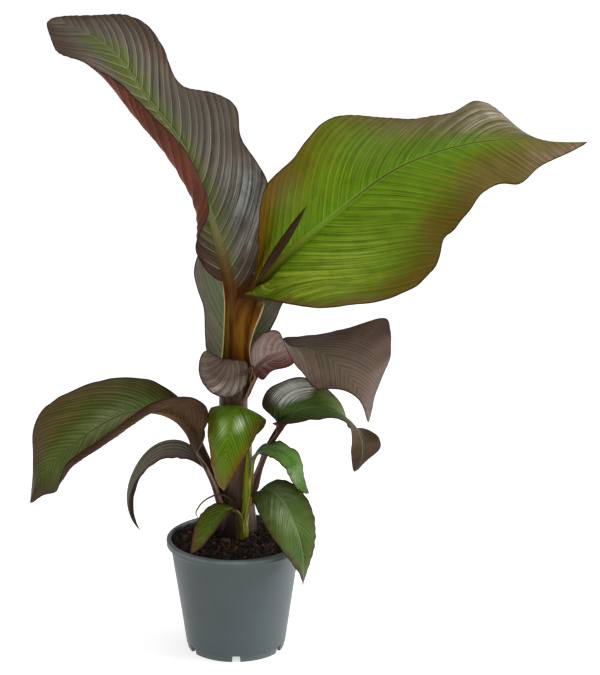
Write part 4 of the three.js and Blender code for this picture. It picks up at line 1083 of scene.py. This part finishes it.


# Looks of the upper sides, in screen colours. margin: between which shares of the half's width bronze sets
# in, spread: from where to where along the blade it gains on that and by how much, lean: more of it on one
# half, tint: beside the rib, base: on the margins of the base, base_side and rim_side: on one half alone,
# stalk_shade: between which lengths from the foot the stalk darkens with painted shade, pleat: how much
# painted shade darkens one side of each pleat.
# Each spot: tone, share, place along the blade and reach, place across it and reach. Some of them are the
# leaf's own tones, others painted sheen and highlights.
PLAIN_LOOK = dict(shine=0.06, coat=0, streak=1.2, lean=0, tint_end=[0.72, 0.95], pleat=0.12, spots=[])
LOOKS = {
    "leaf_upper_right": dict(
        blade=(95, 124, 14), olive=(100, 96, 12), bronze=(106, 92, 46), margin=[0.95, 1.4],
        spread=[0.35, 1, 1.25], lean=0.1, cloud=0.5, streak=1.5, speckle=(96, 56, 22), tint=(86, 128, 8),
        tint_reach=34, tint_share=0.6, base=(84, 62, 2), base_share=1, base_side=1, vein=(150, 172, 64),
        vein_share=0.45, edge=(58, 30, 20), rib=(120, 148, 44), rib_reach=0.42, stalk=(124, 84, 4),
        stalk_dark=(78, 42, 8), stalk_rim=(206, 172, 130), stalk_shade=[64, 104], rim_side=-1, rough=0.42,
        coat=0.03,
        # The first two spots are painted sheen towards the tip; the rest are the leaf's own tones.
        spots=[((176, 168, 156), 0.85, 0.78, 0.22, 0.6, 0.7), ((124, 114, 86), 0.8, 0.6, 0.2, 0.75, 0.5),
               ((122, 142, 44), 1, 0.25, 0.25, -0.5, 0.5), ((128, 148, 40), 1.6, 0.12, 0.2, -0.5, 0.5),
               ((94, 62, 6), 2, 0.14, 0.3, 1, 0.5), ((92, 74, 20), 3, 0.52, 0.28, -1, 0.6),
               ((96, 70, 22), 2, 0.32, 0.2, -1, 0.3), ((134, 110, 98), 1.5, 0.92, 0.14, -0.5, 0.8),
               ((96, 78, 26), 2, 0, 0.07, -0.5, 1), ((104, 78, 44), 2, 0.14, 0.2, -1, 0.22),
               ((108, 94, 52), 1.4, 0.88, 0.2, 0, 0.7)]),
    "leaf_upper_left": dict(
        blade=(93, 86, 75), olive=(90, 76, 64), bronze=(76, 60, 49), margin=[0.7, 1.15],
        spread=[0.6, 1, 0.3], cloud=1.1, pleat=0.2, tint=(90, 104, 40), tint_reach=34, tint_share=0.8,
        base=(68, 46, 34), base_share=1, base_side=1, vein=(172, 166, 146), vein_share=0.7,
        edge=(48, 30, 24), rib=(140, 148, 96), rib_reach=0.34, stalk=(124, 92, 24), stalk_dark=(88, 50, 16),
        stalk_rim=(190, 168, 112), stalk_shade=[70, 110], rim_side=1, rough=0.4, coat=0.05,
        # The first spot is painted sheen low on the right half; the rest are the leaf's own tones.
        spots=[((142, 146, 142), 1.8, 0.19, 0.18, -0.7, 0.55), ((74, 86, 8), 1.3, 0.76, 0.18, 0.15, 0.45),
               ((62, 46, 36), 3, 0.01, 0.08, -0.6, 0.8), ((80, 75, 67), 1.8, 0.46, 0.2, -0.6, 0.7),
               ((64, 44, 34), 2, 0.06, 0.14, 0.4, 0.5)]),
    "leaf_back": dict(
        blade=(116, 130, 92), olive=(114, 120, 94), bronze=(126, 112, 104), margin=[0.6, 1.05],
        spread=[0.4, 1, 0.5], cloud=0.5, tint=(96, 118, 76), tint_reach=22, tint_share=0.5,
        base=(76, 76, 58), base_share=0.5, vein=(160, 170, 136), vein_share=0.5, edge=(78, 56, 52),
        rib=(130, 138, 98), rib_reach=0.3, stalk=(92, 70, 50), stalk_dark=(70, 50, 40),
        stalk_rim=(170, 144, 100), rough=0.42),
    "leaf_side_right": dict(
        blade=(94, 80, 68), olive=(90, 74, 62), bronze=(78, 62, 51), margin=[0.7, 1.15], pleat=0.2,
        spread=[0.5, 1, 0.3], cloud=1, tint=(92, 86, 64), tint_reach=18, tint_share=0.4, base=(70, 52, 42),
        base_share=0.5, vein=(140, 126, 110), vein_share=0.36, edge=(46, 30, 24), rib=(120, 108, 90),
        rib_reach=0.22, stalk=(86, 54, 40), stalk_dark=(62, 38, 30), stalk_rim=(140, 108, 84), rough=0.42,
        spots=[((92, 96, 66), 0.8, 0.34, 0.16, -0.1, 0.8), ((76, 62, 52), 1.5, 0.62, 0.3, 0.6, 0.7),
               ((70, 56, 46), 1.5, 0.85, 0.2, 0, 1)]),
    "leaf_collar": dict(
        blade=(90, 76, 64), olive=(82, 68, 58), bronze=(70, 56, 48), margin=[0.7, 1.2],
        spread=[0.5, 1, 0.2], cloud=0.6, tint=(84, 74, 60), tint_reach=8, tint_share=0.1, base=(76, 74, 52),
        base_share=0.4, pleat=0.2, vein=(150, 136, 120), vein_share=0.42, edge=(44, 28, 24),
        rib=(86, 74, 62), rib_reach=0.04, stalk=(88, 74, 62), stalk_dark=(76, 62, 52),
        stalk_rim=(110, 94, 80), rough=0.42,
        # The spot is painted sheen.
        spots=[((132, 122, 116), 0.9, 0.45, 0.4, 0.65, 0.6)]),
    "leaf_low_left": dict(
        blade=(68, 78, 20), olive=(76, 74, 24), bronze=(84, 70, 42), margin=[0.5, 1.15],
        spread=[0.4, 1, 0.5], cloud=1.3, tint=(80, 104, 34), tint_reach=30, tint_share=0.6,
        base=(58, 54, 18), base_share=0.5, vein=(150, 154, 110), vein_share=0.45, edge=(44, 28, 22),
        rib=(116, 124, 72), rib_reach=0.24, stalk=(80, 62, 52), stalk_dark=(54, 40, 26),
        stalk_rim=(140, 114, 92), stalk_shade=[110, 50], rough=0.36, coat=0.08,
        # The first spot is painted sheen; the rest are the leaf's own tones.
        spots=[((140, 142, 108), 1, 0.47, 0.25, 0.05, 0.45), ((96, 66, 40), 0.8, 0.66, 0.2, -0.6, 0.4),
               ((74, 108, 22), 0.7, 0.78, 0.14, 0.5, 0.6), ((56, 44, 30), 2, 1, 0.2, 0, 2)]),
    "leaf_arching": dict(
        blade=(96, 94, 80), olive=(94, 86, 76), bronze=(92, 78, 72), margin=[0.4, 1.1],
        spread=[0.3, 1, 0.4], cloud=0.8, tint=(84, 92, 64), tint_reach=14, tint_share=0.5,
        base=(62, 58, 46), base_share=0.5, vein=(164, 158, 148), vein_share=0.55, edge=(46, 32, 30),
        rib=(110, 102, 86), rib_reach=0.25, stalk=(84, 64, 50), stalk_dark=(62, 46, 38),
        stalk_rim=(130, 112, 96), rough=0.36),
    "leaf_right_glossy": dict(
        blade=(80, 108, 44), olive=(78, 84, 42), bronze=(68, 48, 30), margin=[0.8, 1.15],
        spread=[0.5, 0.7, 1.1], cloud=0.5, tint=(82, 114, 54), tint_reach=18, tint_share=0.5,
        tint_end=[0.5, 0.75], base=(58, 44, 30), base_share=0.9, vein=(126, 142, 104), vein_share=0.14,
        edge=(46, 30, 24), rib=(120, 136, 88), rib_reach=0.25, stalk=(78, 56, 46), stalk_dark=(56, 38, 32),
        stalk_rim=(130, 104, 84), shine=0.02, rough=0.4,
        # The first two spots are painted sheen on the hump; the rest are the leaf's own tones.
        spots=[((196, 200, 194), 6, 0.16, 0.11, 0.62, 0.4), ((104, 118, 84), 0.5, 0.36, 0.14, 0.7, 0.4),
               ((70, 88, 40), 0.8, 0.76, 0.1, -0.1, 0.4), ((30, 28, 16), 2, 0, 0.1, 0, 2),
               ((46, 30, 16), 4, 0.88, 0.28, 0, 2)]),
    "leaf_low_right": dict(
        blade=(70, 92, 38), olive=(70, 78, 36), bronze=(64, 54, 36), margin=[0.86, 1.15],
        spread=[0.6, 1, 0.6], cloud=0.4, tint=(96, 122, 62), tint_reach=14, tint_share=0.4,
        base=(58, 66, 30), base_share=0.6, pleat=0.06, vein=(148, 160, 120), vein_share=0.16,
        edge=(50, 40, 32), rib=(136, 150, 102), rib_reach=0.25, stalk=(86, 80, 42), stalk_dark=(64, 54, 30),
        stalk_rim=(130, 122, 80), shine=0.02, rough=0.36,
        # The first two spots are painted sheen; the rest are the leaf's own tones.
        spots=[((142, 152, 120), 0.8, 0.4, 0.25, -0.3, 0.5), ((130, 142, 110), 0.7, 0.25, 0.2, 0.3, 0.5),
               ((42, 64, 12), 3, 0.74, 0.2, 0, 0.9), ((56, 42, 32), 0.9, 1, 0.12, 0, 2)]),
    "leaf_sprout_front": dict(
        blade=(76, 112, 2), olive=(92, 96, 4), bronze=(106, 74, 16), margin=[0.86, 1.2],
        spread=[0.6, 1, 0.6], cloud=0.4, streak=1.6, tint=(84, 126, 6), tint_reach=14, tint_share=0.5,
        base=(88, 72, 8), base_share=0.8, vein=(160, 186, 84), vein_share=0.45, edge=(76, 48, 18),
        rib=(124, 156, 40), rib_reach=0.3, stalk=(142, 152, 36), stalk_dark=(110, 114, 24),
        stalk_rim=(184, 188, 100), shine=0.05, rough=0.26, coat=0.06,
        # The first two spots are painted highlights along the veins; the rest are the leaf's own tones.
        spots=[((206, 218, 178), 1.3, 0.53, 0.1, 0.3, 0.3), ((190, 206, 146), 1, 0.58, 0.12, -0.3, 0.3),
               ((64, 58, 6), 2.5, 0.5, 0.2, -0.85, 0.4), ((74, 68, 8), 2, 0.55, 0.2, 0.9, 0.35),
               ((98, 104, 0), 1, 0.82, 0.16, 0, 1), ((118, 72, 30), 1, 1, 0.14, 0, 2)]),
    "leaf_sprout_right": dict(
        blade=(108, 158, 64), olive=(104, 130, 52), bronze=(80, 68, 38), margin=[0.88, 1.2],
        spread=[0.7, 1, 0.5], cloud=0.4, tint=(86, 134, 48), tint_reach=9, tint_share=0.5,
        base=(64, 88, 28), base_share=0.5, vein=(144, 178, 110), vein_share=0.45, edge=(54, 44, 26),
        rib=(122, 152, 72), rib_reach=0.3, stalk=(104, 116, 34), stalk_dark=(96, 68, 30),
        stalk_rim=(154, 160, 88), shine=0.05, rough=0.3, coat=0.04,
        # The first spot is a painted highlight; the second is the leaf's own tone.
        spots=[((160, 190, 136), 0.7, 0.35, 0.2, 0.3, 0.5), ((60, 96, 32), 4, 0.8, 0.34, 0, 2)]),
    "leaf_low_front": dict(
        blade=(70, 90, 10), olive=(82, 82, 14), bronze=(98, 66, 30), margin=[0.84, 1.15],
        spread=[0.5, 1, 0.6], cloud=0.5, streak=1.6, tint=(80, 106, 20), tint_reach=8, tint_share=0.5,
        base=(60, 64, 12), base_share=0.5, vein=(136, 152, 80), vein_share=0.42, edge=(60, 40, 22),
        rib=(110, 126, 54), rib_reach=0.3, stalk=(90, 90, 34), stalk_dark=(68, 60, 26),
        stalk_rim=(140, 132, 80), shine=0.12, rough=0.32, coat=0.15,
        spots=[((120, 70, 44), 0.9, 1, 0.2, 0, 2)]),
}
# Undersides: blade, bronze, veins and rib, for the red leaves, the brown, the mauve and the green ones.
# rings: length and reach of their middle, and how far apart they are
UNDERSIDES = {
    "red": dict(blade=(108, 58, 42), olive=(98, 54, 40), bronze=(80, 46, 36), vein=(168, 122, 108),
                rib=(132, 88, 60)),
    "brown": dict(blade=(66, 50, 28), olive=(82, 62, 46), bronze=(60, 42, 28), vein=(124, 98, 74),
                  rib=(112, 84, 56)),
    "mauve": dict(blade=(144, 124, 116), olive=(134, 112, 104), bronze=(112, 90, 82), vein=(170, 150, 142),
                  rib=(128, 104, 92)),
    "green": dict(blade=(86, 98, 46), olive=(92, 90, 46), bronze=(100, 78, 46), vein=(122, 132, 82),
                  rib=(122, 128, 74)),
}
UNDERSIDES["mauve and red"] = dict(UNDERSIDES["mauve"], pleat=0.08, rings=[88, -24, 9.5],
                                   spots=[((92, 42, 34), 3, 0.07, 0.22, 0.8, 0.8)])
UNDERSIDE_OF = {
    "leaf_upper_right": "red", "leaf_upper_left": "red", "leaf_collar": "red",
    "leaf_low_left": "brown", "leaf_arching": "brown", "leaf_right_glossy": "brown",
    "leaf_side_right": "mauve and red", "leaf_back": "mauve", "leaf_low_right": "green",
    "leaf_sprout_front": "green", "leaf_sprout_right": "green", "leaf_low_front": "green",
}
# Stems: foot gives the heights over which painted shade darkens the foot, and its darkest value.
STEM_LOOKS = {
    "main_stem": dict(low=(96, 71, 56), high=(118, 84, 22), dark=(54, 36, 30), rim=(150, 126, 100),
                      turn=[385, 405], shown=[330, 420], foot=[165, 270, 0.32]),
    "sprout_stem": dict(low=(128, 136, 34), high=(136, 150, 34), dark=(104, 92, 28), rim=(180, 180, 110),
                        turn=[150, 200], shown=[150, 190], foot=[150, 215, 0.55]),
}
ROLL_LOOKS = {
    "rolled_leaf": dict(blade=(66, 40, 22), dark=(38, 22, 12), pale=(104, 66, 42), rough=0.4),
    "withered_leaf": dict(blade=(84, 72, 40), dark=(52, 42, 24), pale=(130, 116, 76), rough=0.7),
}

# Pieces

for number, (name, leaf) in enumerate(LEAVES.items()):
    look = LOOKS[name]
    under = {key: value for key, value in look.items() if key not in ("spots", "speckle")}
    under.update(UNDERSIDES[UNDERSIDE_OF[name]], tint_share=0.0, base_share=0.0, rib_reach=0.6, coat=0.0,
                 vein_share=0.5 * look["vein_share"], rough=look["rough"] + 0.1)
    points, quads, finish_of, blade, span = leaf_shell(leaf, FIRST_SEED + SEED_STEP * number)
    slot = next(slot for slot, names in SLOTS.items() if name in names)
    put_down(name + "_blade", name, slot, points, quads, [],
             [leaf_finish(name + "_upper_side", leaf, look), leaf_finish(name + "_underside", leaf, under)],
             finish_of, blade=blade, span=span)

for name, stem, slot, finish_name in (("main_stem", MAIN_STEM, "stem", "main_sheaths"),
                                      ("sprout_stem", SPROUT_STEM, "sprout", "sprout_sheaths")):
    rings, notes = sheathed_stem(stem)
    points, quads, fans = closed_rings(rings)
    turn = np.arctan2(points[:, 1] - STREAK_AXIS, points[:, 0])
    around = STREAK_SCALE * np.cos(turn) + STREAK_SCALE * np.sin(turn)
    put_down(name + "_sheaths", name, slot, points, quads, fans, [stem_finish(finish_name, STEM_LOOKS[name])],
             sheath=np.column_stack([notes, around]))

for name, roll, slot, finish_name in (("rolled_leaf", ROLLED_LEAF, "bronze_leaf", "rolled_bronze"),
                                      ("withered_leaf", WITHERED_LEAF, "withered_leaf", "dry_stalk")):
    rings, notes = rolled_sheet(roll)
    points, quads, fans = closed_rings(rings)
    put_down(name + "_roll", name, slot, points, quads, fans, [rolled_finish(finish_name, ROLL_LOOKS[name])],
             round=notes)

points, quads, fans = closed_rings(pot_rings())
put_down("pot_shell", "pot", "pot", points, quads, fans, [pot_finish()])

points, quads, fans = closed_rings(soil_rings())
chip_points, chip_quads, chip_fans, chip_shade = bark_chips()
chip_note = np.zeros((len(points) + len(chip_points), 3))
chip_note[len(points):, 0] = chip_shade
finish_of = np.repeat([0, 1, 0, 1], [len(quads), len(chip_quads), len(fans), len(chip_fans)])
put_down("soil_and_bark", "soil", "soil", np.concatenate([points, chip_points]),
         np.concatenate([quads, chip_quads + len(points)]), np.concatenate([fans, chip_fans + len(points)]),
         [soil_finish(), bark_finish()], finish_of, chip=chip_note)

# Floor, light and camera: the floor and the lights in metres, the camera's place in millimetres

FLOOR_REACH = 20.0
floor_mesh = bpy.data.meshes.new("floor")
corners = ((-1, -1), (1, -1), (1, 1), (-1, 1))
floor_mesh.from_pydata([(x * FLOOR_REACH, y * FLOOR_REACH, 0) for x, y in corners], [], [(0, 1, 2, 3)])
floor_mesh.materials.append(floor_finish())
floor = bpy.data.objects.new("floor", floor_mesh)
bpy.context.collection.objects.link(floor)

PLANT, POT_FOOT = (0, 0, 0.4), (0, 0, 0.12)
soft_light("right_light", (2.5, -0.5, 1.3), PLANT, size=1.5, power=26)
soft_light("left_light", (-2.5, -0.6, 1.4), PLANT, size=1.5, power=3)
soft_light("top_light", (0.2, 0.2, 2.5), PLANT, size=1.5, power=10)
soft_light("front_light", (-0.3, -3.2, 1.6), PLANT, size=2, power=20)
soft_light("edge_light", (2.3, 0.3, 0.35), POT_FOOT, size=0.8, power=40)

STUDIO_LIGHT = 0.4
world = bpy.data.worlds.new("studio")
bpy.context.scene.world = world
world.use_nodes = True
background = world.node_tree.nodes["Background"]
background.inputs["Color"].default_value = (1, 1, 1, 1)
background.inputs["Strength"].default_value = STUDIO_LIGHT
bpy.context.scene.view_settings.view_transform = "Standard"

CAMERA_PLACE = (89.4, -3284.4, 1399.2)
CAMERA_PITCH = 16.2
CAMERA_LENS, CAMERA_SENSOR = 135.1, 36
camera = bpy.data.cameras.new("camera")
camera.lens = CAMERA_LENS
camera.sensor_width = CAMERA_SENSOR
viewer = bpy.data.objects.new("camera", camera)
bpy.context.collection.objects.link(viewer)
viewer.location = [value * METRE for value in CAMERA_PLACE]
viewer.rotation_euler = (math.radians(90 - CAMERA_PITCH), 0, 0)
bpy.context.scene.camera = viewer
